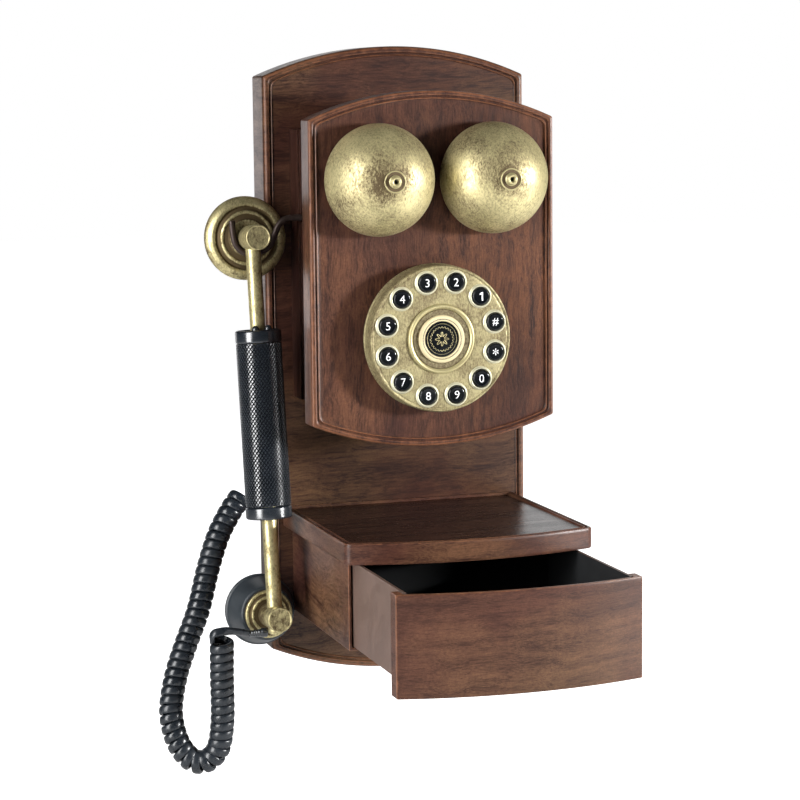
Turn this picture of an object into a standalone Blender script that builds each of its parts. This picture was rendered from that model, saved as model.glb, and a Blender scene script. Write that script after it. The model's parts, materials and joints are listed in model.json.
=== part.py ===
"""Wall telephone: arched boards, two gongs, a dial-shaped keypad, a hook-hung handset and a drawer.

Frame: +Z up, +X to the right seen from the front. The wall is the plane Y = 0 and the
telephone stands out of it towards -Y. The origin is the centre of the backboard's rear face.
Sizes and places are named in millimetres and become metres in the helpers.
"""
import bpy
import bmesh
from math import acos, cos, pi, radians, sin, sqrt
from mathutils import Matrix, Vector

MM = 0.001
GAP = 0.3                       # clearance between solids that rest on each other
OVER = 5.0                      # how far a cutting shape reaches past the surface it opens
CREASE = 35.0                   # edges sharper than this many degrees stay crisp

# Backboard
BOARD_HALF = 77.0
BOARD_CORNER = 162.3            # height of the side corners above and below the origin
BOARD_RISE = 16.2               # rise of each arch above its corners
BOARD_DEPTH = 24.5
BORDER_WIDTH = 4.5
BORDER_HEIGHT = 1.2
HANGER_X, HANGER_Z = 40.0, 128.0
HANGER_SIZE = (26.0, 34.0, 1.6)
KEYHOLE_R, KEYHOLE_SLOT = 4.6, 2.2
KEYHOLE_BELOW, KEYHOLE_ABOVE = 4.0, 10.0
WELL_HALF, WELL_RISE, WELL_DEPTH = 8.0, 12.0, 9.0
JACK_LENGTH, JACK_HALF_DEEP, JACK_HALF_TALL = 15.0, 7.0, 6.5
MOUTH_LENGTH, MOUTH_HALF_DEEP, MOUTH_HALF_TALL = 11.0, 4.0, 3.4
JACK_Z, JACK_Y = -66.0, -13.0

# Upper housing and front panel
HOUSING_HALF = 62.0
HOUSING_LOW, HOUSING_HIGH = -17.2, 132.8
HOUSING_WALL = 2.6
HOUSING_STEP_Y, HOUSING_STEP = -40.0, 1.2
PANEL_HALF = 69.6
PANEL_LOW, PANEL_HIGH = -25.8, 138.8
PANEL_RISE_LOW, PANEL_RISE_HIGH = 14.0, 15.0
PANEL_BACK, PANEL_FRONT = -74.6, -90.2
PANEL_SKIN = 3.0
PANEL_POCKET_HALF = 58.0
PANEL_POCKET_LOW, PANEL_POCKET_HIGH = -12.0, 128.0
WIRE_HOLE = 6.0
WINDOW_HALF, WINDOW_BELOW, WINDOW_ABOVE = 2.6, 2.8, 5.5

# Gongs
GONG_X, GONG_Z = 32.4, 106.4
GONG_RADIUS, GONG_DEPTH, GONG_WALL = 30.3, 30.0, 1.2
GONG_RIM_Y = -95.0
GONG_HOLE = 2.3
GONG_STEPS = 9
POST_RADIUS, POST_BORE, POST_BORE_DEPTH = 3.4, 2.1, 8.0
SCREW_HEAD, SCREW_SHANK, SCREW_SOCKET = 3.6, 1.8, 1.3

# Dial-shaped keypad
DIAL_Z = 20.2
DIAL_RADIUS, DIAL_FACE_Y, DIAL_WALL = 40.0, -102.0, 2.0
KEY_RING = 31.7                 # radius of the circle that the button centres lie on
KEY_STEP = 30.0
KEY_HOLE, KEY_RADIUS, BEZEL_RADIUS = 5.15, 4.8, 6.3
BEZEL_HEIGHT, KEY_PROUD = 1.3, 1.9
FLANGE_OUT, FLANGE_THICK, FLANGE_GAP = 1.0, 1.0, 0.4
KEY_TRAVEL = 2.2
CENTRE_RING, CENTRE_RING_RISE = (16.2, 18.2), 1.2
MEDALLION_RING, MEDALLION_RISE, DISC_RISE = (9.5, 12.8), 1.6, 1.0
PAD_RADIUS, PAD_BEHIND, PAD_THICK, PAD_BOARD_THICK = 37.0, 4.2, 1.2, 1.6
KEY_NAMES = ("hash", "1", "2", "3", "4", "5", "6", "7", "8", "9", "0", "star")

# Inside the housing
MAIN_BOARD_X, MAIN_BOARD_Z, MAIN_BOARD_THICK = (-30.0, 50.0), (0.0, 76.0), 1.6
STANDOFF = 6.0
RINGER_RADIUS, RINGER_THICK, RINGER_X, RINGER_Z = 14.0, 9.1, 28.0, 50.0
BRACKET_LEFT, BRACKET_RIGHT, BRACKET_BELOW, BRACKET_ABOVE, BRACKET_FRONT = 6.0, 10.0, 8.0, 9.0, 8.2
HOOK_SLOT_HALF, HOOK_SLOT_RIGHT = 3.4, 5.5
PIN_BACK = 11.0
SWITCH_LEFT, SWITCH_RIGHT, SWITCH_BELOW, SWITCH_FRONT, SWITCH_GAP = 11.0, 6.6, 16.0, 2.5, 0.6

# Handset: the head point is where the rod's axis meets the upper head's axis
HEAD = (-91.0, -49.6, 74.7)
LEAN, TILT = -3.9, -1.5         # degrees about X and about Y
HEAD_SPACING = 210.0
HEAD_RADIUS, UPPER_COIN_OUT, LOWER_COIN_OUT = 6.9, 14.0, 11.5
NECK_RADIUS = 6.2               # groove behind the upper head that rests in the hook's fork
ROD_RADIUS, SOCKET_DEPTH, ROD_IN_GRIP = 4.2, 12.0, 14.0
CUP_RADIUS, CUP_BACK = 23.3, 20.5
SPEAKER_RADIUS, MICROPHONE_RADIUS = 13.0, 9.0
GRIP_TOP, GRIP_BOTTOM, GRIP_RADIUS = -50.5, -154.5, 12.6
COLLAR_LENGTH, COLLAR_RADIUS, GRIP_BORE = 7.0, 12.9, 4.6
HORN_RADIUS, HORN_BACK = 20.2, 36.0
STUB_BELOW = 9.2

# Hook lever
HOOK_Y, HOOK_RADIUS = -42.7, 1.8
HOOK_PIVOT = (-48.0, 84.5)
HOOK_ROUTE = ((-50, 84.5), (-62, 84.6), (-69.5, 84.2), (-74, 81), (-76.6, 75.5), (-79.5, 69.5), (-84.2, 66.8),
              (-90.5, 65.7), (-95.2, 66.8), (-98.8, 71), (-100.1, 77), (-100.7, 83.8))
PIN_RADIUS, PIN_CLEARANCE = 1.5, 0.3
EYE_RADIUS, EYE_HALF = 4.6, 3.0

# Shelf and drawer
SHELF_HALF, SHELF_TOP, SHELF_THICK = 69.3, -79.8, 11.4
SHELF_FRONT, SHELF_BOW, SHELF_CORNER = -148.5, 12.0, 5.0
SHELF_LIP, SHELF_SUNK = 3.0, 0.8
CASE_HALF, CASE_FRONT, CASE_BOTTOM, CASE_WALL = 64.0, -135.0, -139.9, 1.6
BOX_HALF, BOX_BOTTOM, BOX_TOP, BOX_WALL = 61.3, -138.1, -92.0, 1.8
DRAWER_OPEN = 79.0              # how far the drawer stands open at rest
FRONT_HALF, FRONT_LOW, FRONT_HIGH = 65.75, -145.0, -92.2
FRONT_CORNER_Y, FRONT_BOW, FRONT_SKIN, FRONT_RETURN = -223.5, 9.5, 2.5, 9.0
BOX_BACK = -26.8 - DRAWER_OPEN

# Handset cord
CURL_DIAMETER, LEAD_RADIUS = 13.4, 1.35
PLUG_LEFT, PLUG_HALF_DEEP, PLUG_HALF_TALL, PLUG_IN = -84.0, 3.4, 2.8, 10.0
CURL_ROUTE = ((-91.5, -14.8, -74.6), (-94.6, -15.2, -77.8), (-99.2, -16, -84), (-106.3, -18, -96),
              (-113.4, -21, -114.6), (-120.1, -25, -135.8), (-129.4, -29, -156.3), (-135.7, -32, -172.6),
              (-139.5, -36, -190.7), (-137.0, -40, -206.6), (-130.5, -43.5, -216.4), (-123.6, -46, -218),
              (-117.7, -47.5, -213.9), (-114.6, -48.5, -206.8), (-113.2, -50, -191.5), (-113.6, -52, -167.4),
              (-113.5, -53.3, -149.6))
BODY_LEAD = ((-84.4, -13, -66), (-86.2, -13, -66.1), (-88.0, -13.3, -67.4), (-89.4, -13.9, -70.4),
             (-91.1, -14.6, -74.0))
HANDSET_LEAD = ((-116.5, -53.4, -149.1), (-117.5, -53.6, -145.6), (-116, -54.2, -142.3), (-111, -55.4, -141.6),
                (-105, -56.6, -142.9), (-101.2, -57.1, -143.8), (-99.4, -57.2, -144.0))
RELIEF, RELIEF_RADIUS = ((-99.0, -57.2, -144.0), (-88.8, -57.8, -144.6)), 2.6

ROUND = 32
FACE_FRONT = (pi / 2, 0, 0)     # turns a local +Z axis to face the viewer, along -Y


# ---------------------------------------------------------------- scene and materials

def clear_scene():
    for thing in list(bpy.data.objects):
        bpy.data.objects.remove(thing, do_unlink=True)


def collection(name):
    group = bpy.data.collections.new(name)
    bpy.context.scene.collection.children.link(group)
    return group


def material(name, colour, roughness, metallic=0.0):
    mat = bpy.data.materials.new(name)
    mat.use_nodes = True
    shader = mat.node_tree.nodes["Principled BSDF"]
    shader.inputs["Base Color"].default_value = (*colour, 1.0)
    shader.inputs["Roughness"].default_value = roughness
    shader.inputs["Metallic"].default_value = metallic
    return mat


# ---------------------------------------------------------------- shape helpers

def shade_round(mesh):
    mesh.shade_smooth()
    mesh.set_sharp_from_angle(angle=radians(CREASE))

def add_object(name, mesh, finish, location=(0, 0, 0), rotation=(0, 0, 0), parent=None, group=None):
    """Link a mesh at a place given in millimetres, with its material named after the piece."""
    item = bpy.data.objects.new(name, mesh)
    item.location = Vector(location) * MM
    item.rotation_euler = rotation
    item.parent = parent
    (group or PARTS).objects.link(item)
    if finish:
        mesh.materials.append(material(name + "_finish", *finish))
    return item


def box(name, x, y, z, finish, parent=None, group=None):
    """A block between the given pairs of faces."""
    size = [abs(pair[1] - pair[0]) * MM for pair in (x, y, z)]
    centre = [(pair[0] + pair[1]) / 2 for pair in (x, y, z)]
    bm = bmesh.new()
    bmesh.ops.create_cube(bm, size=1.0, matrix=Matrix.Diagonal((*size, 1.0)))
    mesh = bpy.data.meshes.new(name)
    bm.to_mesh(mesh)
    bm.free()
    return add_object(name, mesh, finish, centre, parent=parent, group=group)


def cylinder(name, radius, start, end, finish, parent=None, group=None, segments=ROUND):
    """A round bar between two points."""
    axis = Vector(end) - Vector(start)
    bm = bmesh.new()
    bmesh.ops.create_cone(bm, cap_ends=True, segments=segments, radius1=radius * MM, radius2=radius * MM,
                          depth=axis.length * MM)
    mesh = bpy.data.meshes.new(name)
    bm.to_mesh(mesh)
    bm.free()
    shade_round(mesh)
    centre = (Vector(start) + Vector(end)) / 2
    turn = axis.to_track_quat("Z", "Y").to_euler()
    return add_object(name, mesh, finish, centre, turn, parent, group)


def turned(name, profile, closed, finish, location, rotation=FACE_FRONT, parent=None, steps=ROUND, group=None):
    """A profile of (radius, height) points turned about its own Z axis."""
    bm = bmesh.new()
    line = [bm.verts.new((r * MM, 0.0, h * MM)) for r, h in profile]
    after = line[1:] + line[:1] if closed else line[1:]
    edges = [bm.edges.new(pair) for pair in zip(line, after)]
    bmesh.ops.spin(bm, geom=line + edges, cent=(0, 0, 0), axis=(0, 0, 1), angle=2 * pi, steps=steps,
                   use_duplicate=False)
    bmesh.ops.remove_doubles(bm, verts=bm.verts, dist=0.00001)
    bmesh.ops.recalc_face_normals(bm, faces=bm.faces)
    mesh = bpy.data.meshes.new(name)
    bm.to_mesh(mesh)
    bm.free()
    shade_round(mesh)
    return add_object(name, mesh, finish, location, rotation, parent, group)


def as_mesh(curve_object):
    """Swap a curve object for a mesh object with its caps welded."""
    graph = bpy.context.evaluated_depsgraph_get()
    mesh = bpy.data.meshes.new_from_object(curve_object.evaluated_get(graph))
    bm = bmesh.new()
    bm.from_mesh(mesh)
    bmesh.ops.remove_doubles(bm, verts=bm.verts, dist=0.000005)
    bm.to_mesh(mesh)
    bm.free()
    shade_round(mesh)
    name, place = curve_object.name, curve_object.matrix_world.copy()
    group, parent = curve_object.users_collection[0], curve_object.parent
    bpy.data.objects.remove(curve_object, do_unlink=True)
    item = bpy.data.objects.new(name, mesh)
    group.objects.link(item)
    item.parent = parent
    item.matrix_world = place
    return item


def plate(name, outline, near, far, finish, flat="wall", group=None):
    """A flat outline given thickness: in the XZ plane between two Y values, or in XY between two Z values."""
    curve = bpy.data.curves.new(name, "CURVE")
    curve.dimensions = "2D"
    curve.fill_mode = "BOTH"
    curve.extrude = abs(far - near) / 2 * MM
    spline = curve.splines.new("POLY")
    spline.points.add(len(outline) - 1)
    for point, (u, v) in zip(spline.points, outline):
        point.co = (u * MM, v * MM, 0.0, 1.0)
    spline.use_cyclic_u = True
    middle = (near + far) / 2
    upright = flat == "wall"
    item = add_object(name, curve, finish, (0, middle, 0) if upright else (0, 0, middle),
                      FACE_FRONT if upright else (0, 0, 0), group=group)
    bpy.context.view_layer.update()
    return as_mesh(item)


def tube(name, points, radius, finish, parent=None, resolution=2):
    """A round wire along points in millimetres."""
    curve = bpy.data.curves.new(name, "CURVE")
    curve.dimensions = "3D"
    curve.bevel_depth = radius * MM
    curve.bevel_resolution = resolution
    curve.use_fill_caps = True
    spline = curve.splines.new("POLY")
    spline.points.add(len(points) - 1)
    for point, place in zip(spline.points, points):
        point.co = (*(Vector(place) * MM), 1.0)
    item = add_object(name, curve, finish, parent=parent)
    bpy.context.view_layer.update()
    return as_mesh(item)


def cut(target, cutter, operation="DIFFERENCE"):
    """Boolean with a cutter that stays as a wire guide."""
    change = target.modifiers.new(operation.lower(), "BOOLEAN")
    change.operation = operation
    change.solver = "EXACT"
    change.object = cutter
    cutter.hide_render = True
    cutter.display_type = "WIRE"


def arched_outline(half, low, high, rise_low, rise_high, inset=0.0, steps=20):
    """Upright sides joined by a circular arc below and above, moved inwards by the inset."""
    def arc(corner, rise, way):
        radius = (half * half + rise * rise) / (2 * rise)
        centre = corner - way * (radius - rise)
        edge = half - inset
        across = [-edge + 2 * edge * i / steps for i in range(steps + 1)]
        return [(x, centre + way * sqrt((radius - inset) ** 2 - x * x)) for x in across]
    return arc(low, rise_low, -1) + arc(high, rise_high, 1)[::-1]


def bowed_outline(half, back, corner, bow, corner_radius=0.0, steps=20):
    """Plan of a board whose front edge is an arc: straight back and sides, rounded front corners."""
    radius = (half * half + bow * bow) / (2 * bow)
    centre = corner + radius - bow
    edge = half - corner_radius * 0.85

    def front(x):
        return centre - sqrt(radius ** 2 - x * x)

    points = [(-half, back)]
    for i in range(5):
        turn = pi / 2 * i / 4
        if corner_radius:
            start = front(edge) + corner_radius
            points.append((-half + corner_radius * 0.85 * (1 - cos(turn)), start - corner_radius * sin(turn)))
    if not corner_radius:
        points.append((-half, front(half)))
    points += [(x, front(x)) for x in (-edge + 2 * edge * i / steps for i in range(1, steps))]
    mirrored = [(-x, y) for x, y in points[::-1] if x < 0]
    return [p for p in points if p[0] <= 0] + mirrored


def smooth_route(route, spacing):
    """Evenly spaced points on a Catmull-Rom curve through the route's own points."""
    ways = [Vector(p) for p in route]
    ends = [2 * ways[0] - ways[1]] + ways + [2 * ways[-1] - ways[-2]]
    fine = []
    for a, b, c, d in zip(ends, ends[1:], ends[2:], ends[3:]):
        for i in range(16):
            t = i / 16
            fine.append(0.5 * (2 * b + (c - a) * t + (2 * a - 5 * b + 4 * c - d) * t ** 2
                               + (3 * b - a - 3 * c + d) * t ** 3))
    fine.append(ways[-1])
    total = sum((q - p).length for p, q in zip(fine, fine[1:]))
    count = max(2, round(total / spacing))
    points, walked, target = [fine[0]], 0.0, total / count
    for p, q in zip(fine, fine[1:]):
        step = (q - p).length
        while walked + step >= target and len(points) < count:
            points.append(p.lerp(q, (target - walked) / step))
            target += total / count
        walked += step
    points.append(fine[-1])
    return points


# ---------------------------------------------------------------- finishes

WOOD = ((0.115, 0.050, 0.032), 0.5)
WOOD_DARK = ((0.085, 0.038, 0.026), 0.5)
BRASS = ((0.48, 0.40, 0.17), 0.35, 1.0)
BLACK = ((0.012, 0.013, 0.015), 0.3)
CREAM = ((0.78, 0.72, 0.48), 0.45)
STEEL = ((0.55, 0.56, 0.58), 0.35, 1.0)
BOARD_GREEN = ((0.03, 0.16, 0.07), 0.5)
RUBBER = ((0.12, 0.12, 0.13), 0.8)
BRONZE = ((0.07, 0.045, 0.035), 0.4, 0.6)


# ---------------------------------------------------------------- boards and housing

def build_backboard():
    outline = (BOARD_HALF, -BOARD_CORNER, BOARD_CORNER, BOARD_RISE, BOARD_RISE)
    board = plate("backboard", arched_outline(*outline), 0.0, -BOARD_DEPTH, WOOD)
    field = plate("backboard_field", arched_outline(*outline, inset=BORDER_WIDTH),
                  -BOARD_DEPTH + BORDER_HEIGHT, -BOARD_DEPTH - OVER, None, group=CUTTERS)
    cut(board, field)
    for side, name in ((-1, "left"), (1, "right")):
        build_hanger(board, side * HANGER_X, "keyhole_hanger_" + name)
    for side, name in ((-1, "handset_jack"), (1, "line_jack")):
        build_jack(board, side, name)


def build_hanger(board, x, name):
    """A sunk steel plate whose keyhole takes the head of a wall screw."""
    wide, tall, thick = HANGER_SIZE
    seat = box(name + "_seat", (x - wide / 2 - GAP, x + wide / 2 + GAP), (OVER, -thick - 2 * GAP),
               (HANGER_Z - tall / 2 - GAP, HANGER_Z + tall / 2 + GAP), None, group=CUTTERS)
    well = box(name + "_well", (x - WELL_HALF, x + WELL_HALF), (OVER, -WELL_DEPTH),
               (HANGER_Z - WELL_RISE, HANGER_Z + WELL_RISE), None, group=CUTTERS)
    cut(board, seat)
    cut(board, well)
    hanger = box(name, (x - wide / 2, x + wide / 2), (-GAP, -GAP - thick),
                 (HANGER_Z - tall / 2, HANGER_Z + tall / 2), STEEL)
    centre_z = HANGER_Z - KEYHOLE_BELOW
    cut(hanger, cylinder(name + "_hole", KEYHOLE_R, (x, OVER, centre_z), (x, -OVER, centre_z), None,
                         group=CUTTERS))
    cut(hanger, box(name + "_slot", (x - KEYHOLE_SLOT, x + KEYHOLE_SLOT), (OVER, -OVER),
                    (centre_z, HANGER_Z + KEYHOLE_ABOVE), None, group=CUTTERS))


def build_jack(board, side, name):
    """A socket block sunk in the backboard's side face, its mouth flush with that face."""
    face = side * BOARD_HALF
    inner = side * (BOARD_HALF - JACK_LENGTH)
    deep, tall = JACK_HALF_DEEP, JACK_HALF_TALL
    cut(board, box(name + "_pocket", (inner - side * GAP, face + side * OVER),
                   (JACK_Y - deep - GAP, JACK_Y + deep + GAP), (JACK_Z - tall - GAP, JACK_Z + tall + GAP), None,
                   group=CUTTERS))
    jack = box(name, (inner, face), (JACK_Y - deep, JACK_Y + deep), (JACK_Z - tall, JACK_Z + tall), BLACK)
    cut(jack, box(name + "_mouth", (side * (BOARD_HALF - MOUTH_LENGTH), face + side * OVER),
                  (JACK_Y - MOUTH_HALF_DEEP, JACK_Y + MOUTH_HALF_DEEP),
                  (JACK_Z - MOUTH_HALF_TALL, JACK_Z + MOUTH_HALF_TALL), None, group=CUTTERS))


def build_housing():
    back = -BOARD_DEPTH + BORDER_HEIGHT - GAP
    front = PANEL_BACK + GAP
    housing = box("housing", (-HOUSING_HALF, HOUSING_HALF), (back, front), (HOUSING_LOW, HOUSING_HIGH), WOOD_DARK)
    for side, name in ((-1, "left"), (1, "right")):
        cut(housing, box("housing_step_" + name,
                         (side * (HOUSING_HALF - HOUSING_STEP), side * (HOUSING_HALF + OVER)),
                         (HOUSING_STEP_Y, front - OVER), (HOUSING_LOW - OVER, HOUSING_HIGH + OVER), None,
                         group=CUTTERS))
    inner = HOUSING_HALF - HOUSING_WALL
    cut(housing, box("housing_cavity", (-inner, inner), (back + OVER, front - OVER),
                     (HOUSING_LOW + HOUSING_WALL, HOUSING_HIGH - HOUSING_WALL), None, group=CUTTERS))
    cut(housing, box("hook_window", (-HOUSING_HALF - OVER, -inner + OVER),
                     (HOOK_Y - WINDOW_HALF, HOOK_Y + WINDOW_HALF),
                     (HOOK_PIVOT[1] - WINDOW_BELOW, HOOK_PIVOT[1] + WINDOW_ABOVE), None, group=CUTTERS))


def build_front_panel():
    outline = (PANEL_HALF, PANEL_LOW, PANEL_HIGH, PANEL_RISE_LOW, PANEL_RISE_HIGH)
    panel = plate("front_panel", arched_outline(*outline), PANEL_BACK, PANEL_FRONT, WOOD)
    cut(panel, plate("panel_field", arched_outline(*outline, inset=BORDER_WIDTH), PANEL_FRONT + BORDER_HEIGHT,
                     PANEL_FRONT - OVER, None, group=CUTTERS))
    cut(panel, box("panel_pocket", (-PANEL_POCKET_HALF, PANEL_POCKET_HALF),
                   (PANEL_BACK + OVER, PANEL_FRONT + BORDER_HEIGHT + PANEL_SKIN),
                   (PANEL_POCKET_LOW, PANEL_POCKET_HIGH), None, group=CUTTERS))
    cut(panel, cylinder("keypad_wire_hole", WIRE_HOLE, (0, PANEL_BACK, DIAL_Z), (0, PANEL_FRONT - OVER, DIAL_Z),
                        None, group=CUTTERS))


def panel_skin_y():
    """Height of the panel's field, which the gongs and the dial stand on."""
    return PANEL_FRONT + BORDER_HEIGHT


# ---------------------------------------------------------------- gongs

def hole_angle(radius):
    """Angle up a bowl's profile at which its radius has shrunk to the screw hole's."""
    return acos(GONG_HOLE / radius)


def build_gong(side, name):
    """A deep bowl, mouth towards the panel, on a post and held by a hollow-headed screw."""
    x = side * GONG_X
    inner_r, inner_d = GONG_RADIUS - GONG_WALL, GONG_DEPTH - GONG_WALL
    climbs = [i / GONG_STEPS for i in range(GONG_STEPS + 1)]
    top, inner_top = hole_angle(GONG_RADIUS), hole_angle(inner_r)
    outer = [(GONG_RADIUS * cos(top * climb), GONG_DEPTH * sin(top * climb)) for climb in climbs[::-1]]
    inner = [(inner_r * cos(inner_top * climb), inner_d * sin(inner_top * climb)) for climb in climbs]
    turned("gong_" + name, outer + inner, True, BRASS, (x, GONG_RIM_Y, GONG_Z))

    base = panel_skin_y() - GAP
    height = abs(GONG_RIM_Y - base) + inner_d - 0.5
    bore = height - POST_BORE_DEPTH
    turned("gong_post_" + name, [(0, bore), (POST_BORE, bore), (POST_BORE, height), (POST_RADIUS, height),
                                 (POST_RADIUS, 0), (0, 0)], False, STEEL, (x, base, GONG_Z), steps=20)

    head = GONG_DEPTH + 0.15
    turned("gong_screw_" + name,
           [(0, head + 0.4), (SCREW_SOCKET, head + 0.4), (SCREW_SOCKET, head + 2.2), (SCREW_SOCKET + 0.9, head + 2.4),
            (SCREW_HEAD, head + 1.1), (SCREW_HEAD, head), (SCREW_SHANK, head), (SCREW_SHANK, head - 6.5),
            (0, head - 6.5)], False, BRASS, (x, GONG_RIM_Y, GONG_Z), steps=20)


# ---------------------------------------------------------------- keypad

def key_place(index):
    angle = radians(KEY_STEP / 2 + KEY_STEP * index)
    return KEY_RING * cos(angle), DIAL_Z + KEY_RING * sin(angle)


def build_dial():
    base = panel_skin_y() - GAP
    height = base - DIAL_FACE_Y
    inside = DIAL_RADIUS - DIAL_WALL
    face = turned("dial_face", [(0, height), (DIAL_RADIUS - 1, height), (DIAL_RADIUS, height - 1), (DIAL_RADIUS, 0),
                                (inside, 0), (inside, height - DIAL_WALL), (0, height - DIAL_WALL)],
                  False, BRASS, (0, base, DIAL_Z), steps=48)
    for index in range(12):
        x, z = key_place(index)
        cut(face, cylinder(f"bezel_{index}", BEZEL_RADIUS, (x, DIAL_FACE_Y + 1, z),
                           (x, DIAL_FACE_Y - BEZEL_HEIGHT, z), None, group=CUTTERS, segments=20), "UNION")
    for index in range(12):
        x, z = key_place(index)
        cut(face, cylinder(f"key_hole_{index}", KEY_HOLE, (x, DIAL_FACE_Y + OVER, z), (x, DIAL_FACE_Y - OVER, z), None,
                           group=CUTTERS, segments=20))

    proud = DIAL_FACE_Y - GAP
    for name, (inner, outer), rise, finish in (("dial_centre_ring", CENTRE_RING, CENTRE_RING_RISE, BRASS),
                                               ("medallion_ring", MEDALLION_RING, MEDALLION_RISE, CREAM)):
        turned(name, [(inner, rise), (outer, rise), (outer, 0), (inner, 0)], True, finish, (0, proud, DIAL_Z))
    cylinder("medallion_disc", MEDALLION_RING[0] - GAP, (0, proud, DIAL_Z), (0, proud - DISC_RISE, DIAL_Z), BLACK)
    build_keys()


def build_keys():
    """Twelve caps held in by flanges behind the face, over a rubber mat and its board."""
    mat_front = DIAL_FACE_Y + DIAL_WALL + PAD_BEHIND
    reach = mat_front - GAP - DIAL_FACE_Y
    flange, top = KEY_RADIUS + FLANGE_OUT, reach - DIAL_WALL - FLANGE_GAP
    stem = KEY_RADIUS - 1.5
    profile = [(0, reach + KEY_PROUD), (KEY_RADIUS - 0.5, reach + KEY_PROUD), (KEY_RADIUS, reach + KEY_PROUD - 0.5),
               (KEY_RADIUS, top), (flange, top), (flange, top - FLANGE_THICK), (stem, top - FLANGE_THICK),
               (stem, KEY_TRAVEL), (0, KEY_TRAVEL)]
    for index, key in enumerate(KEY_NAMES):
        x, z = key_place(index)
        turned("button_" + key, profile, False, BLACK, (x, mat_front - GAP, z), steps=20)
    mat_back = mat_front + PAD_THICK
    cylinder("keypad_mat", PAD_RADIUS, (0, mat_front, DIAL_Z), (0, mat_back, DIAL_Z), RUBBER)
    board = mat_back + GAP
    cylinder("keypad_board", PAD_RADIUS, (0, board, DIAL_Z), (0, board + PAD_BOARD_THICK, DIAL_Z), BOARD_GREEN)


# ---------------------------------------------------------------- inside the housing

def build_electronics():
    rear = -BOARD_DEPTH + BORDER_HEIGHT - GAP
    board_front = rear - STANDOFF - MAIN_BOARD_THICK
    box("main_board", MAIN_BOARD_X, (rear - STANDOFF, board_front), MAIN_BOARD_Z, BOARD_GREEN)
    cylinder("ringer", RINGER_RADIUS, (RINGER_X, board_front - GAP, RINGER_Z),
             (RINGER_X, board_front - GAP - RINGER_THICK, RINGER_Z), BLACK)
    px, pz = HOOK_PIVOT
    reach = HOOK_Y - BRACKET_FRONT
    bracket = box("hook_bracket", (px - BRACKET_LEFT, px + BRACKET_RIGHT), (rear, reach),
                  (pz - BRACKET_BELOW, pz + BRACKET_ABOVE), BLACK)
    cut(bracket, box("hook_slot", (px - BRACKET_LEFT - OVER, px + HOOK_SLOT_RIGHT),
                     (HOOK_Y - HOOK_SLOT_HALF, HOOK_Y + HOOK_SLOT_HALF),
                     (pz - BRACKET_BELOW - OVER, pz + BRACKET_ABOVE + OVER), None, group=CUTTERS))
    cut(bracket, cylinder("hook_bore", PIN_RADIUS + PIN_CLEARANCE, (px, HOOK_Y + PIN_BACK + 1, pz),
                          (px, reach - OVER, pz), None, group=CUTTERS, segments=24))
    cylinder("hook_pin", PIN_RADIUS, (px, HOOK_Y + PIN_BACK, pz), (px, reach, pz), STEEL, segments=24)
    box("hook_switch", (px - SWITCH_LEFT, px - SWITCH_RIGHT), (rear, HOOK_Y - SWITCH_FRONT),
        (pz - SWITCH_BELOW, pz - HOOK_RADIUS - SWITCH_GAP), BLACK)


def build_hook():
    """A bent rod: an eye on the pin, a stem through the housing's side and an open fork. Its origin
    is on the pin's axis."""
    points = [(x, HOOK_Y, z) for x, z in HOOK_ROUTE]
    hook = tube("hook_lever", smooth_route(points, 3.2), HOOK_RADIUS, BRONZE)
    px, pz = HOOK_PIVOT
    pivot = Vector((px, HOOK_Y, pz)) * MM
    hook.data.transform(Matrix.Translation(-pivot))
    hook.location = pivot
    eye = cylinder("hook_eye", EYE_RADIUS, (px, HOOK_Y - EYE_HALF, pz), (px, HOOK_Y + EYE_HALF, pz), None,
                   group=CUTTERS, segments=24)
    cut(hook, eye, "UNION")
    cut(hook, cylinder("hook_eye_bore", PIN_RADIUS + PIN_CLEARANCE, (px, HOOK_Y - OVER, pz), (px, HOOK_Y + OVER, pz),
                       None, group=CUTTERS, segments=24))


# ---------------------------------------------------------------- handset

def handset_frame():
    """An empty at the head point; the handset's pieces are placed in its axes, +Y towards the wall."""
    frame = bpy.data.objects.new("handset_frame", None)
    frame.location = Vector(HEAD) * MM
    frame.rotation_euler = (radians(LEAN), radians(TILT), 0)
    PARTS.objects.link(frame)
    return frame


def to_wall(name, profile, closed, finish, z, frame, steps=ROUND):
    """A turned piece whose profile heights run towards the wall from the rod's axis."""
    flipped = [(r, -h) for r, h in profile]
    return turned(name, flipped, closed, finish, (0, 0, z), FACE_FRONT, frame, steps)


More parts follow.
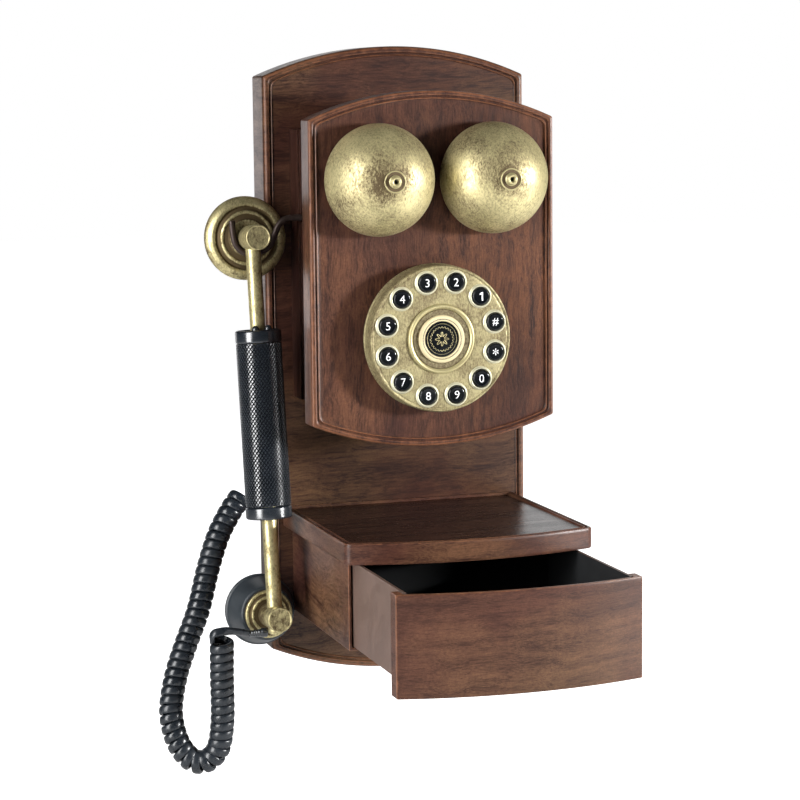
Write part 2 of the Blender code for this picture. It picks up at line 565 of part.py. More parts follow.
def build_handset(frame):
    low = -HEAD_SPACING
    upper = to_wall("upper_head", [(0, -UPPER_COIN_OUT), (HEAD_RADIUS - 0.6, -UPPER_COIN_OUT),
                                   (HEAD_RADIUS, -UPPER_COIN_OUT + 0.6),
                                   (HEAD_RADIUS, 3.8), (NECK_RADIUS, 4.1), (NECK_RADIUS, 9.2), (0, 9.2)],
                    False, BRASS, 0, frame, 24)
    cut(upper, cylinder("upper_socket", ROD_RADIUS + GAP, (0, 0, 0.5), (0, 0, -SOCKET_DEPTH), None, frame, CUTTERS,
                        20))
    lower = to_wall("lower_head", [(0, -LOWER_COIN_OUT), (HEAD_RADIUS - 0.6, -LOWER_COIN_OUT),
                                   (HEAD_RADIUS, -LOWER_COIN_OUT + 0.6),
                                   (HEAD_RADIUS, 11.2), (0, 11.2)], False, BRASS, low, frame, 24)
    cut(lower, cylinder("lower_socket", ROD_RADIUS + GAP, (0, 0, low + SOCKET_DEPTH), (0, 0, low - SOCKET_DEPTH),
                        None, frame, CUTTERS, 20))
    cylinder("upper_rod", ROD_RADIUS, (0, 0, 0), (0, 0, GRIP_TOP - ROD_IN_GRIP), BRASS, frame, segments=20)
    cylinder("lower_rod", ROD_RADIUS, (0, 0, GRIP_BOTTOM + ROD_IN_GRIP), (0, 0, low - STUB_BELOW), BRASS, frame,
             segments=20)

    def sleeve(name, radius, top, bottom, finish):
        turned(name, [(GRIP_BORE, top), (radius - 0.5, top), (radius, top - 0.5), (radius, bottom + 0.5),
                      (radius - 0.5, bottom), (GRIP_BORE, bottom)], True, finish, (0, 0, 0), (0, 0, 0), frame)

    sleeve("grip_collar_top", COLLAR_RADIUS, GRIP_TOP, GRIP_TOP - COLLAR_LENGTH, BLACK)
    sleeve("grip", GRIP_RADIUS, GRIP_TOP - COLLAR_LENGTH - GAP, GRIP_BOTTOM + COLLAR_LENGTH + GAP, BLACK)
    sleeve("grip_collar_bottom", COLLAR_RADIUS, GRIP_BOTTOM + COLLAR_LENGTH, GRIP_BOTTOM, BLACK)

    cup = 9.2 + GAP
    to_wall("ear_cup", [(0, cup), (10.5, cup), (13.6, cup + 0.8), (17.0, cup + 2.2), (17.6, cup + 1.6),
                        (20.2, cup + 2.0), (22.6, cup + 4.2), (CUP_RADIUS, cup + 6.6), (CUP_RADIUS, cup + 8.2),
                        (20.8, cup + 8.2), (20.2, cup + 5.4), (15.5, cup + 4.2), (0, cup + 2.4)],
            False, BRASS, 0, frame, 40)
    cylinder("ear_speaker", SPEAKER_RADIUS, (0, cup + 5.0, 0), (0, cup + 8.4, 0), BLACK, frame)
    to_wall("ear_cap", [(0, cup + 8.7), (20.4, cup + 8.7), (21.4, cup + 9.4), (21.0, CUP_BACK), (0, CUP_BACK - 0.6)],
            False, BLACK, 0, frame, 40)

    hub = 11.2 + GAP
    to_wall("mouth_hub", [(0, hub), (10.4, hub), (10.7, hub + 1.2), (13.3, hub + 1.8), (13.6, hub + 4.4),
                          (0, hub + 4.4)], False, BRASS, low, frame)
    horn = hub + 4.4 + GAP
    to_wall("mouth_horn", [(0, horn), (14.7, horn), (15.4, horn + 0.8), (19.4, HORN_BACK - 2.2),
                           (HORN_RADIUS, HORN_BACK - 2.0), (HORN_RADIUS, HORN_BACK), (18.2, HORN_BACK),
                           (13.0, horn + 2.4), (0, horn + 2.4)], False, BLACK, low, frame, 40)
    cylinder("microphone", MICROPHONE_RADIUS, (0, horn + 2.7, low), (0, horn + 7.5, low), STEEL, frame)


# ---------------------------------------------------------------- shelf and drawer

def build_shelf():
    back = -BOARD_DEPTH + BORDER_HEIGHT - GAP
    shelf = plate("shelf", bowed_outline(SHELF_HALF, back, SHELF_FRONT, SHELF_BOW, SHELF_CORNER),
                  SHELF_TOP - SHELF_THICK, SHELF_TOP, WOOD, "floor")
    field = bowed_outline(SHELF_HALF - SHELF_LIP, back + OVER, SHELF_FRONT + SHELF_LIP, SHELF_BOW, SHELF_CORNER - 2)
    cut(shelf, plate("shelf_field", field, SHELF_TOP - SHELF_SUNK, SHELF_TOP + OVER, None, "floor", CUTTERS))


def build_drawer():
    back = -BOARD_DEPTH + BORDER_HEIGHT - GAP
    top = SHELF_TOP - SHELF_THICK - GAP
    case = box("drawer_housing", (-CASE_HALF, CASE_HALF), (back, CASE_FRONT), (CASE_BOTTOM, top), WOOD_DARK)
    inner = CASE_HALF - CASE_WALL
    cut(case, box("case_cavity", (-inner, inner), (back - CASE_WALL, CASE_FRONT - OVER),
                  (CASE_BOTTOM + CASE_WALL - 0.2, top + OVER), None, group=CUTTERS))

    inside_bow = FRONT_CORNER_Y + FRONT_SKIN
    tray = plate("drawer_box", bowed_outline(BOX_HALF, BOX_BACK, inside_bow + GAP, FRONT_BOW), BOX_BOTTOM, BOX_TOP,
                 WOOD_DARK, "floor")
    cut(tray, box("tray_hollow", (-BOX_HALF + BOX_WALL, BOX_HALF - BOX_WALL),
                  (BOX_BACK - BOX_WALL, FRONT_CORNER_Y - 2 * FRONT_BOW), (BOX_BOTTOM + BOX_WALL, BOX_TOP + OVER), None,
                  group=CUTTERS))

    back_edge = FRONT_CORNER_Y + FRONT_RETURN
    front = plate("drawer_front", bowed_outline(FRONT_HALF, back_edge, FRONT_CORNER_Y, FRONT_BOW), FRONT_LOW,
                  FRONT_HIGH, WOOD, "floor")
    hollow = bowed_outline(BOX_HALF + GAP, back_edge + OVER, inside_bow, FRONT_BOW)
    cut(front, plate("front_hollow", hollow, FRONT_LOW - OVER, FRONT_HIGH + OVER, None, "floor", CUTTERS))


# ---------------------------------------------------------------- cord

def build_cord():
    box("cord_plug", (-BOARD_HALF + PLUG_IN, PLUG_LEFT), (JACK_Y - PLUG_HALF_DEEP, JACK_Y + PLUG_HALF_DEEP),
        (JACK_Z - PLUG_HALF_TALL, JACK_Z + PLUG_HALF_TALL), BLACK)
    tube("cord_lead_body", smooth_route(BODY_LEAD, 3.0), LEAD_RADIUS, BLACK)
    tube("curly_cord", smooth_route(CURL_ROUTE, CURL_DIAMETER * 0.6), CURL_DIAMETER / 2, BLACK, resolution=3)
    tube("cord_lead_handset", smooth_route(HANDSET_LEAD, 3.5), LEAD_RADIUS, BLACK)
    cylinder("lead_relief", RELIEF_RADIUS, *RELIEF, BLACK, segments=16)


clear_scene()
PARTS = collection("wall_telephone")
CUTTERS = collection("cutters")
build_backboard()
build_housing()
build_front_panel()
build_gong(-1, "left")
build_gong(1, "right")
build_dial()
build_electronics()
build_hook()
build_handset(handset_frame())
build_shelf()
build_drawer()
build_cord()
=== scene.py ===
"""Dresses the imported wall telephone: boards, bells, keypad, hook, handset, cord and drawer.

Everything is in metres in the telephone's own frame: the wall is the plane Y = 0, the telephone
stands out of it towards -Y, +Z is up and +X is to the right. New pieces are grids of points worked
out as whole arrays. Tables named *_MM and the profiles of turned pieces are in millimetres, and are
scaled once, where they are used.
"""

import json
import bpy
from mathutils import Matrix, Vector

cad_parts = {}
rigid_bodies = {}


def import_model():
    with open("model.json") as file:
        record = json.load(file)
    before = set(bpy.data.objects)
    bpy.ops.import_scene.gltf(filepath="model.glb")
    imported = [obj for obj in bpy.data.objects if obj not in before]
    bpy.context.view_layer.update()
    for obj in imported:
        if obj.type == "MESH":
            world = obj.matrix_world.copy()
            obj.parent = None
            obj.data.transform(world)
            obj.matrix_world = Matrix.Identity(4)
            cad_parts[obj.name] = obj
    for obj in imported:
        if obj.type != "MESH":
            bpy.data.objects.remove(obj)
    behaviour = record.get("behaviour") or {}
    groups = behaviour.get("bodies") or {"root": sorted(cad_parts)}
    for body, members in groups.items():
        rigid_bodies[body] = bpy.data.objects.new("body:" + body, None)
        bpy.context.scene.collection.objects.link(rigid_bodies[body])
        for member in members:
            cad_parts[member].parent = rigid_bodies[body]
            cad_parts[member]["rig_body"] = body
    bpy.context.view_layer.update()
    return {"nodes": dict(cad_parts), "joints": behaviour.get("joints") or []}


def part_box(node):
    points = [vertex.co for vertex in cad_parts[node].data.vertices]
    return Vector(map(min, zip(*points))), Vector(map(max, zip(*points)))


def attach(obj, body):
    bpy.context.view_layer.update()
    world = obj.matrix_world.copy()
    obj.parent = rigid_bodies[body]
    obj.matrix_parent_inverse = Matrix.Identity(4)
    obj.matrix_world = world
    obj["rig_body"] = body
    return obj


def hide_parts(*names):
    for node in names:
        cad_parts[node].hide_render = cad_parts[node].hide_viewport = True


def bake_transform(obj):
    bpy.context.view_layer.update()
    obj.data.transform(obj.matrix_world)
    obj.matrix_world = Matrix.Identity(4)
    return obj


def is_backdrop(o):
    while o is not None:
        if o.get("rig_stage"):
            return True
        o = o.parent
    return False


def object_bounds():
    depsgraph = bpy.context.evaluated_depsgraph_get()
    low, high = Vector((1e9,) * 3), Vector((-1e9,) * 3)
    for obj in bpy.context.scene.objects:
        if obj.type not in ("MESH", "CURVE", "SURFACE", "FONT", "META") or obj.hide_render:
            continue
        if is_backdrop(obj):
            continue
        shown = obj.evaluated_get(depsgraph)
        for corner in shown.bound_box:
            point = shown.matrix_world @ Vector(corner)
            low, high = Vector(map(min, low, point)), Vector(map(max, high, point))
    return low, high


bl_info = {
    "name": "Wall Telephone",
    "version": (1, 0, 0),
    "blender": (4, 5, 0),
    "location": "3D View > Sidebar > Telephone",
    "description": "Builds the boards, bells, keypad, handset, cord and drawer of a wall telephone",
    "category": "Add Mesh",
}

from math import asin, atan2, cos, pi, radians, sin

import bmesh
import bpy
import numpy as np
from bpy.props import FloatProperty, FloatVectorProperty, IntProperty, PointerProperty
from mathutils import Matrix, Vector

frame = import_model()

MM = 0.001
KEYS = ("hash", "1", "2", "3", "4", "5", "6", "7", "8", "9", "0", "star")
SYMBOLS = {"hash": "#", "star": "*"}


# ---------------------------------------------------------------- settings

def length(name, millimetres, description):
    """A size property whose default is given in millimetres."""
    return FloatProperty(name=name, description=description, default=millimetres * MM, min=0.0,
                         subtype="DISTANCE", unit="LENGTH", precision=5)


def colour(name, rgb, description):
    """A colour property."""
    return FloatVectorProperty(name=name, description=description, default=rgb, size=3, min=0.0, max=1.0,
                               subtype="COLOR")


def span(node, axis):
    """Lowest and highest value of a CAD node along one axis."""
    low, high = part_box(node)
    return low[axis], high[axis]


def middle(node):
    """The middle of a CAD node's box."""
    low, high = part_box(node)
    return np.array((low + high) / 2)


class BoardSettings(bpy.types.PropertyGroup):
    """Sizes of the backboard, the front panel, the shelf and the drawer's front."""
    board_rise: length("Backboard rise", 16.2, "Height of the backboard's arches above their corners")
    panel_rise_low: length("Panel lower rise", 14.0, "Height of the front panel's lower arch")
    panel_rise_high: length("Panel upper rise", 15.0, "Height of the front panel's upper arch")
    shelf_bow: length("Shelf bow", 12.0, "How far the shelf's front bows out")
    drawer_bow: length("Drawer bow", 9.5, "How far the drawer's front bows out")
    drawer_skin: length("Drawer front thickness", 2.5, "Thickness of the drawer's front")
    edge: length("Edge softness", 0.45, "Width of the softened edges on plain boxes")


class BellSettings(bpy.types.PropertyGroup):
    """Sizes of the gongs and their fixing screws."""
    wall: length("Gong wall", 1.2, "Thickness of the gongs' metal")
    hole: length("Gong hole", 2.3, "Radius of the hole for the fixing screw")
    ring: length("Collar ring", 5.6, "Radius of the thin ring pressed round each screw")


class KeypadSettings(bpy.types.PropertyGroup):
    """Sizes of the round keypad."""
    key_ring: length("Key circle", 31.7, "Radius of the circle that the keys stand on")
    key_radius: length("Key radius", 4.75, "Radius of a key's cap")
    hole_radius: length("Key hole", 5.15, "Radius of the hole round a key")
    collar: length("Key collar", 6.3, "Outer radius of the raised collar round a key")
    digit: length("Digit height", 6.3, "Height of the digits' body")


class HandsetSettings(bpy.types.PropertyGroup):
    """Sizes of the handset."""
    coin: length("Head radius", 6.9, "Radius of the two brass heads")
    rod: length("Rod radius", 4.2, "Radius of the two rods")
    grip: length("Grip radius", 12.6, "Radius of the grip over its knurls")
    collar: length("Grip collar radius", 12.75, "Radius of the grip's smooth ends")
    knurl: length("Knurl depth", 0.55, "Depth of the grooves between the diamonds")
    knurls: IntProperty(name="Knurls", description="Diamonds round the grip", default=40, min=8, max=80)


class CordSettings(bpy.types.PropertyGroup):
    """Sizes of the curly handset cord."""
    wide: length("Cord width", 4.9, "Width of the flat cord")
    thick: length("Cord thickness", 2.7, "Thickness of the flat cord")
    curl: length("Curl diameter", 14.0, "Outer diameter of the curls")
    turns: IntProperty(name="Turns", description="Number of curls", default=48, min=10, max=120)


class FinishSettings(bpy.types.PropertyGroup):
    """Colours of the finishes."""
    wood_deep: colour("Wood, deep", (0.022, 0.008, 0.006), "Darkest streaks of the stained wood")
    wood_mid: colour("Wood", (0.085, 0.033, 0.022), "Body colour of the stained wood")
    wood_light: colour("Wood, light", (0.170, 0.078, 0.044), "Lightest streaks of the stained wood")
    wood_warm: colour("Wood, warm", (0.210, 0.080, 0.036), "Warm patches where the stain is thin")
    wood_olive: colour("Wood, olive", (0.150, 0.094, 0.040), "Olive-brown patches of the flat fronts")
    wood_worn: colour("Worn edge", (0.230, 0.095, 0.048), "Stain rubbed thin on the edges")
    brass_bright: colour("Brass", (0.560, 0.490, 0.255), "Rubbed antique brass")
    brass_dark: colour("Patina", (0.095, 0.065, 0.030), "Dark patina in the brass")
    black: colour("Black", (0.009, 0.012, 0.016), "Glossy black parts")
    cream: colour("Cream", (0.520, 0.440, 0.260), "Ring round the centre of the keypad")
    brown: colour("Brown", (0.098, 0.060, 0.046), "Smooth sides of the drawer")


class StageSettings(bpy.types.PropertyGroup):
    """Camera and light."""
    eye: FloatVectorProperty(name="Eye", description="Place of the camera", subtype="XYZ", unit="LENGTH",
                             default=(-0.4219, -1.3493, 0.1573))
    turn: FloatProperty(name="Turn", description="Camera's turn towards +X", subtype="ANGLE",
                        default=radians(17.70))
    dip: FloatProperty(name="Dip", description="Camera's dip below the horizon", subtype="ANGLE",
                       default=radians(7.366))
    roll: FloatProperty(name="Roll", description="Camera's roll", subtype="ANGLE", default=radians(-0.613))
    lens: FloatProperty(name="Lens", description="Focal length in millimetres", default=110.0, min=1.0)
    floor: length("Floor drop", 300.0, "How far the floor lies below the middle of the backboard")


# ---------------------------------------------------------------- meshes from grids

def grid_faces(rows, columns, wrap_rows=False):
    """Quads that join each point of a grid, closed round its columns, to the next column and row."""
    last = rows if wrap_rows else rows - 1
    row, column = np.meshgrid(np.arange(last), np.arange(columns), indexing="ij")
    aside, after = (column + 1) % columns, (row + 1) % rows
    corners = ((row, column), (row, aside), (after, aside), (after, column))
    return np.stack([at * columns + step for at, step in corners], axis=-1).reshape(-1, 4)


def outward_mesh(name, points, faces):
    """A mesh whose faces are turned to point outwards."""
    mesh = bpy.data.meshes.new(name)
    mesh.from_pydata(np.asarray(points).reshape(-1, 3).tolist(), [], faces)
    bm = bmesh.new()
    bm.from_mesh(mesh)
    bmesh.ops.recalc_face_normals(bm, faces=bm.faces)
    bm.to_mesh(mesh)
    bm.free()
    return mesh


def set_worn(mesh, worn):
    """Keeps a value at each point: how far wood is rubbed, or how much patina brass holds."""
    values = np.asarray(worn, np.float32).ravel()
    mesh.attributes.new("worn", "FLOAT", "POINT").data.foreach_set("value", values)


def dress(mesh, look, sharp):
    """Gives a mesh one finish and smooth shading that breaks at its sharp edges."""
    mesh.materials.clear()
    mesh.materials.append(finish(look))
    mesh.shade_smooth()
    mesh.set_sharp_from_angle(angle=radians(sharp))


def new_object(name, data):
    """An object at the origin, in the scene."""
    item = bpy.data.objects.new(name, data)
    bpy.context.scene.collection.objects.link(item)
    return item


def join_frame(piece, body, stands_for):
    """Makes a piece ride on a body and stand for CAD nodes."""
    if body:
        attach(piece, body)
    if stands_for:
        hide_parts(*stands_for)
    return piece


def make_piece(name, points, faces, look, body, slot, stands_for=(), worn=None, sharp=35.0):
    """A new piece from points and faces, with the named look."""
    mesh = outward_mesh(name, points, faces)
    if worn is not None:
        set_worn(mesh, worn)
    dress(mesh, look, sharp)
    return join_frame(new_object(name, mesh), body, stands_for)


def closed_grid(grid, first=None, last=None, wrap_rows=False):
    """Points and faces of a grid closed round its columns. Each open end gets a fan to a point,
    which is the given one or the middle of the end's own row."""
    rows, columns = grid.shape[:2]
    points = grid.reshape(-1, 3)
    faces = grid_faces(rows, columns, wrap_rows).tolist()
    if wrap_rows:
        return points, faces
    around = np.arange(columns)
    for start, tip in ((0, first), ((rows - 1) * columns, last)):
        tip = grid[start // columns].mean(0) if tip is None else tip
        ring = start + around
        fan = np.stack([ring, start + (around + 1) % columns, np.full(columns, len(points))], axis=-1)
        faces += fan.tolist()
        points = np.vstack([points, tip])
    return points, faces


LONGEST_EASE = 0.45             # the largest share of a side that a rounded corner takes up


def eased(profile, radius, steps=4):
    """A (radius, height, ...) outline in millimetres with each inner corner rounded: a quadratic
    curve leaves one side at the given distance from the corner and joins the other side."""
    profile = np.asarray(profile, float)
    out = [profile[0]]
    share = np.linspace(0, 1, steps)[:, None]
    for before, corner, after in zip(profile, profile[1:], profile[2:]):
        into, away = before - corner, after - corner
        a, b = (corner + side * min(radius / max(np.hypot(*side[:2]), 1e-9), LONGEST_EASE)
                for side in (into, away))
        out.extend((1 - share) ** 2 * a + 2 * share * (1 - share) * corner + share ** 2 * b)
    out.append(profile[-1])
    return np.array(out)


FORWARD = (np.array((1.0, 0, 0)), np.array((0, 0, 1.0)), np.array((0, -1.0, 0)))


def turned_grid(profile, centre, axes=FORWARD, sides=64):
    """A profile of (radius, height) in millimetres turned about an axis: each point lies at the
    centre, plus its radius times the cosine and sine of the angle along the first two axes, plus
    its height along the third."""
    profile = np.asarray(profile, float)[:, :2] * MM
    angle = np.arange(sides) * 2 * pi / sides
    ring = np.cos(angle)[:, None] * axes[0] + np.sin(angle)[:, None] * axes[1]
    return centre + profile[:, None, :1] * ring[None] + profile[:, None, 1:2] * axes[2]


def raised(profile, height):
    """A profile whose heights are given from a level, moved to that level."""
    return [(radius, height + above, *rest) for radius, above, *rest in profile]


def eased_ring(profile, height, radius):
    """A ring's outline moved to a level, closed and rounded at every corner but its first."""
    return eased(raised(profile + profile[:1], height), radius)[1:-1]


def turned_piece(name, profile, centre, look, body, slot, stands_for=(), axes=FORWARD, sides=64,
                 ring=False, sharp=35.0, worn=None):
    """A turned solid. Its profile starts and ends on the axis, or closes on itself for a ring. worn
    gives a ring's rows their wear; a third value in a solid's profile gives its rows theirs."""
    profile = np.asarray(profile, float)
    if ring:
        points, faces = closed_grid(turned_grid(profile, centre, axes, sides), wrap_rows=True)
        worn = worn if worn is None else np.repeat(worn, sides)
        return make_piece(name, points, faces, look, body, slot, stands_for, worn, sharp)
    tips = [centre + profile[i, 1] * MM * axes[2] for i in (0, -1)]
    off_axis = profile[profile[:, 0] > 1e-6]
    points, faces = closed_grid(turned_grid(off_axis, centre, axes, sides), *tips)
    if profile.shape[1] > 2:
        worn = np.append(np.repeat(off_axis[:, 2], sides), profile[[0, -1], 2])
    return make_piece(name, points, faces, look, body, slot, stands_for, worn, sharp)


def board_ring(half, low, high, rise_low, rise_high, inset, corner_low, corner_high, arc=72, side=36, turn=7):
    """Outline of an arched board, moved inwards by an inset. The lower and upper edges are arcs about
    fixed centres, so an inset takes it off their radius; each corner is an arc that touches the
    upright side and the edge's arc."""
    def half_outline(corner_at, rise, way, radius):
        big = (half * half + rise * rise) / (2 * rise)
        centre = corner_at - way * (big - rise)
        big, edge = big - inset, half - inset
        radius = max(radius, 0.00002)
        middle_x = edge - radius
        middle_z = centre + way * np.sqrt((big - radius) ** 2 - middle_x ** 2)
        tilt = np.arctan2(middle_x, way * (middle_z - centre))
        along = np.linspace(-tilt, tilt, arc)
        edge_arc = np.stack([big * np.sin(along), centre + way * big * np.cos(along)], axis=-1)
        round_off = np.linspace(tilt, pi / 2, turn)
        corner = np.stack([middle_x + radius * np.sin(round_off),
                           middle_z + way * radius * np.cos(round_off)], axis=-1)
        left = corner[::-1] * (-1, 1)
        return np.vstack([left[:-1], edge_arc, corner[1:]])
    below = half_outline(low, rise_low, -1, corner_low)
    above = half_outline(high, rise_high, 1, corner_high)[::-1]
    share = np.linspace(0, 1, side)[1:-1, None]
    right = below[-1] * (1 - share) + above[0] * share
    left = above[-1] * (1 - share) + below[0] * share
    return np.vstack([below, right, above, left])


STRAIGHT = 0.01 * MM            # the rise of an edge that is as good as straight


def polygon_values(piece, key):
    """The normals or centres of a piece's faces, one row each."""
    values = np.zeros(len(piece.data.polygons) * 3, np.float32)
    piece.data.polygons.foreach_get(key, values)
    return values.reshape(-1, 3)


def second_finish(piece, look, chosen):
    """Gives another finish to the chosen faces of a piece."""
    piece.data.materials.append(finish(look))
    piece.data.polygons.foreach_set("material_index", chosen.astype(np.int32))


def arched_board(name, node, rows_mm, rise_low, rise_high, look, lying=False, back_corner=None):
    """A board with an arched edge below and above, from rows of (inset, depth, corner, wear) in
    millimetres. It stands with its face towards -Y, or lies with its face up and its lower edge
    towards -Y. back_corner is the radius of its upper corners where it isn't the lower ones'."""
    low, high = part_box(node)
    up = 1 if lying else 2
    rings = []
    for inset, depth, corner in np.asarray(rows_mm)[:, :3] * MM:
        ring = board_ring((high.x - low.x) / 2, low[up] + rise_low, high[up] - rise_high, rise_low, rise_high,
                          inset, corner, back_corner or corner)
        level = np.full(len(ring), high.z - depth if lying else low.y + depth)
        rings.append(np.insert(ring, 3 - up, level, axis=1))
    grid = np.array(rings)
    worn = np.append(np.repeat(np.asarray(rows_mm)[:, 3], grid.shape[1]), (0, 0))
    body = frame["nodes"][node]["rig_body"]
    return make_piece(name, *closed_grid(grid), look, body, "wood", [node], worn, sharp=40.0)


def smooth_route(points_mm, spacing=0.0005):
    """Evenly spaced points on the Catmull-Rom curve through a route given in millimetres."""
    p = np.asarray(points_mm, float) * MM
    p = np.vstack([2 * p[0] - p[1], p, 2 * p[-1] - p[-2]])
    a, b, c, d = (p[i:len(p) - 3 + i, None] for i in range(4))
    t = np.linspace(0, 1, 33)[None, :-1, None]
    curve = (2 * b + (c - a) * t + (2 * a - 5 * b + 4 * c - d) * t ** 2
             + (3 * b - a - 3 * c + d) * t ** 3) / 2
    return evenly(np.vstack([curve.reshape(-1, 3), p[-2]]), spacing)


def evenly(points, spacing):
    """Points at even distances along a polyline."""
    walked = np.concatenate([[0], np.cumsum(np.linalg.norm(np.diff(points, axis=0), axis=1))])
    count = max(3, int(round(walked[-1] / spacing)) + 1)
    at = np.linspace(0, walked[-1], count)
    return np.stack([np.interp(at, walked, points[:, i]) for i in range(3)], axis=-1)


def unit(vectors):
    """Vectors brought to length 1."""
    return vectors / np.linalg.norm(vectors, axis=-1, keepdims=True)


def tube_grid(path, outward, half_wide, half_thick, sides=14, power=1.0):
    """A section carried along a path: its thin way points outward, square to the path, and its wide
    way is the cross product of the path's direction and that. Its points are the cosine and sine of
    an angle, each raised to a power that keeps the sign: 1 is an oval, and less is squarer."""
    along = unit(np.gradient(path, axis=0))
    out = unit(outward - (outward * along).sum(-1, keepdims=True) * along)
    side = np.cross(along, out)
    angle = np.arange(sides) * 2 * pi / sides
    thin, wide = (np.sign(wave) * np.abs(wave) ** power for wave in (np.cos(angle), np.sin(angle)))
    return (path[:, None] + half_thick * thin[None, :, None] * out[:, None]
            + half_wide * wide[None, :, None] * side[:, None])


# ---------------------------------------------------------------- nodes and materials

def socket_in(tree, node, key, value):
    """Link a socket, or set a value, on one of a node's inputs."""
    target = node.inputs[key]
    if isinstance(value, bpy.types.NodeSocket):
        tree.links.new(value, target)
    elif isinstance(value, (tuple, list)) and target.type == "RGBA" and len(value) == 3:
        target.default_value = (*value, 1.0)
    else:
        target.default_value = value


def add_node(tree, kind, inputs=None, **settings):
    node = tree.nodes.new(kind)
    for key, value in settings.items():
        setattr(node, key, value)
    for key, value in (inputs or {}).items():
        socket_in(tree, node, key, value)
    return node


def mix_colour(tree, factor, first, second):
    node = add_node(tree, "ShaderNodeMix", data_type="RGBA")
    for index, value in ((0, factor), (6, first), (7, second)):
        socket_in(tree, node, index, value)
    return node.outputs[2]


def maths(tree, operation, first, second=0.0, clamp=False):
    node = add_node(tree, "ShaderNodeMath", {0: first, 1: second}, operation=operation, use_clamp=clamp)
    return node.outputs[0]


def remap(tree, value, low, high, to_low=0.0, to_high=1.0):
    node = add_node(tree, "ShaderNodeMapRange", {"Value": value, "From Min": low, "From Max": high,
                                                 "To Min": to_low, "To Max": to_high})
    return node.outputs["Result"]


def noise(tree, vector, scale, detail=5.0, rough=0.6):
    node = add_node(tree, "ShaderNodeTexNoise", {"Vector": vector, "Scale": scale, "Detail": detail,
                                                 "Roughness": rough})
    return node.outputs["Fac"]


def object_place(tree):
    """The place on the object, in its own frame."""
    return add_node(tree, "ShaderNodeTexCoord").outputs["Object"]


def worn_value(tree):
    """The value that set_worn keeps."""
    return add_node(tree, "ShaderNodeAttribute", attribute_name="worn").outputs["Fac"]


def start_group(name, inputs, outputs):
    """A new shader group with named inputs (label, socket kind, default) and outputs (label, kind)."""
    tree = bpy.data.node_groups.new(name, "ShaderNodeTree")
    for label, kind, value in inputs:
        tree.interface.new_socket(label, in_out="INPUT", socket_type=kind).default_value = value
    for label, kind in outputs:
        tree.interface.new_socket(label, in_out="OUTPUT", socket_type=kind)
    return tree, tree.nodes.new("NodeGroupInput").outputs, tree.nodes.new("NodeGroupOutput")


def finish_group(tree, out, values):
    for label, value in values.items():
        tree.links.new(value, out.inputs[label])
    return tree


FLOAT, VECTOR = "NodeSocketFloat", "NodeSocketVector"


def streak_group():
    """Stain brushed on in long strokes: fine streaks, broad cloudy patches and a height."""
    tree, given, out = start_group(
        "Brushed stain", [("Stretch", VECTOR, (90, 90, 8)), ("Fineness", FLOAT, 1.0)],
        [(label, FLOAT) for label in ("Streaks", "Clouds", "Patches", "Pores", "Height")])
    place = object_place(tree)
    stretched = add_node(tree, "ShaderNodeMapping", {"Vector": place, "Scale": given["Stretch"]}).outputs[0]
    warp = noise(tree, place, 22.0, 2.0)
    warp = add_node(tree, "ShaderNodeCombineXYZ", {0: warp, 1: warp, 2: warp}).outputs[0]
    stretched = add_node(tree, "ShaderNodeVectorMath", {0: stretched, 1: warp}, operation="ADD").outputs[0]
    fine = noise(tree, stretched, maths(tree, "MULTIPLY", given["Fineness"], 9.0), 8.0, 0.72)
    broad = noise(tree, stretched, 1.6, 4.0, 0.6)
    clouds = noise(tree, place, 17.0, 4.0, 0.62)
    patches = noise(tree, place, 8.5, 3.0, 0.55)
    pores = noise(tree, place, 900.0, 3.0, 0.7)
    streaks = maths(tree, "ADD", maths(tree, "MULTIPLY", fine, 0.6), maths(tree, "MULTIPLY", broad, 0.4))
    return finish_group(tree, out, {"Streaks": remap(tree, streaks, 0.40, 0.61),
                                    "Clouds": remap(tree, clouds, 0.36, 0.66),
                                    "Patches": remap(tree, patches, 0.44, 0.62),
                                    "Pores": remap(tree, pores, 0.35, 0.65),
                                    "Height": maths(tree, "ADD", fine, maths(tree, "MULTIPLY", pores, 0.7))})


def wear_group():
    """Where an edge has been rubbed: the piece's own worn value, broken up by noise. There is no
    wear where the worn value is nothing."""
    tree, given, out = start_group("Edge wear", [("Breakup", FLOAT, 240.0), ("Reach", FLOAT, 0.62)],
                                   [("Mask", FLOAT)])
    place = object_place(tree)
    worn = worn_value(tree)
    broken = noise(tree, place, given["Breakup"], 6.0, 0.7)
    level = maths(tree, "ADD", worn, maths(tree, "MULTIPLY", maths(tree, "SUBTRACT", broken, 0.5), 1.3))
    soft = remap(tree, level, given["Reach"], 1.25)
    only_worn = maths(tree, "MINIMUM", maths(tree, "MULTIPLY", worn, 2.0), 1.0)
    return finish_group(tree, out, {"Mask": maths(tree, "MULTIPLY", soft, only_worn, clamp=True)})


def patina_group():
    """Patina left on antique brass: broad clouds and a fine brushed speckle, more of it in the
    grooves that hold it, and a height."""
    tree, given, out = start_group(
        "Brass patina", [("Speckle", FLOAT, 700.0), ("Clouds", FLOAT, 45.0), ("Amount", FLOAT, 0.5)],
        [("Mask", FLOAT), ("Height", FLOAT)])
    place = object_place(tree)
    brushed = add_node(tree, "ShaderNodeMapping", {"Vector": place, "Scale": (1.0, 1.0, 0.5)}).outputs[0]
    speckle = noise(tree, brushed, given["Speckle"], 5.0, 0.75)
    clouds = noise(tree, place, given["Clouds"], 5.0, 0.65)
    blend = maths(tree, "ADD", maths(tree, "MULTIPLY", speckle, 0.55), maths(tree, "MULTIPLY", clouds, 0.45))
    level = maths(tree, "ADD", blend, maths(tree, "MULTIPLY", given["Amount"], 0.2))
    level = maths(tree, "ADD", level, maths(tree, "MULTIPLY", worn_value(tree), 0.30))
    return finish_group(tree, out, {"Mask": remap(tree, level, 0.52, 0.72), "Height": speckle})


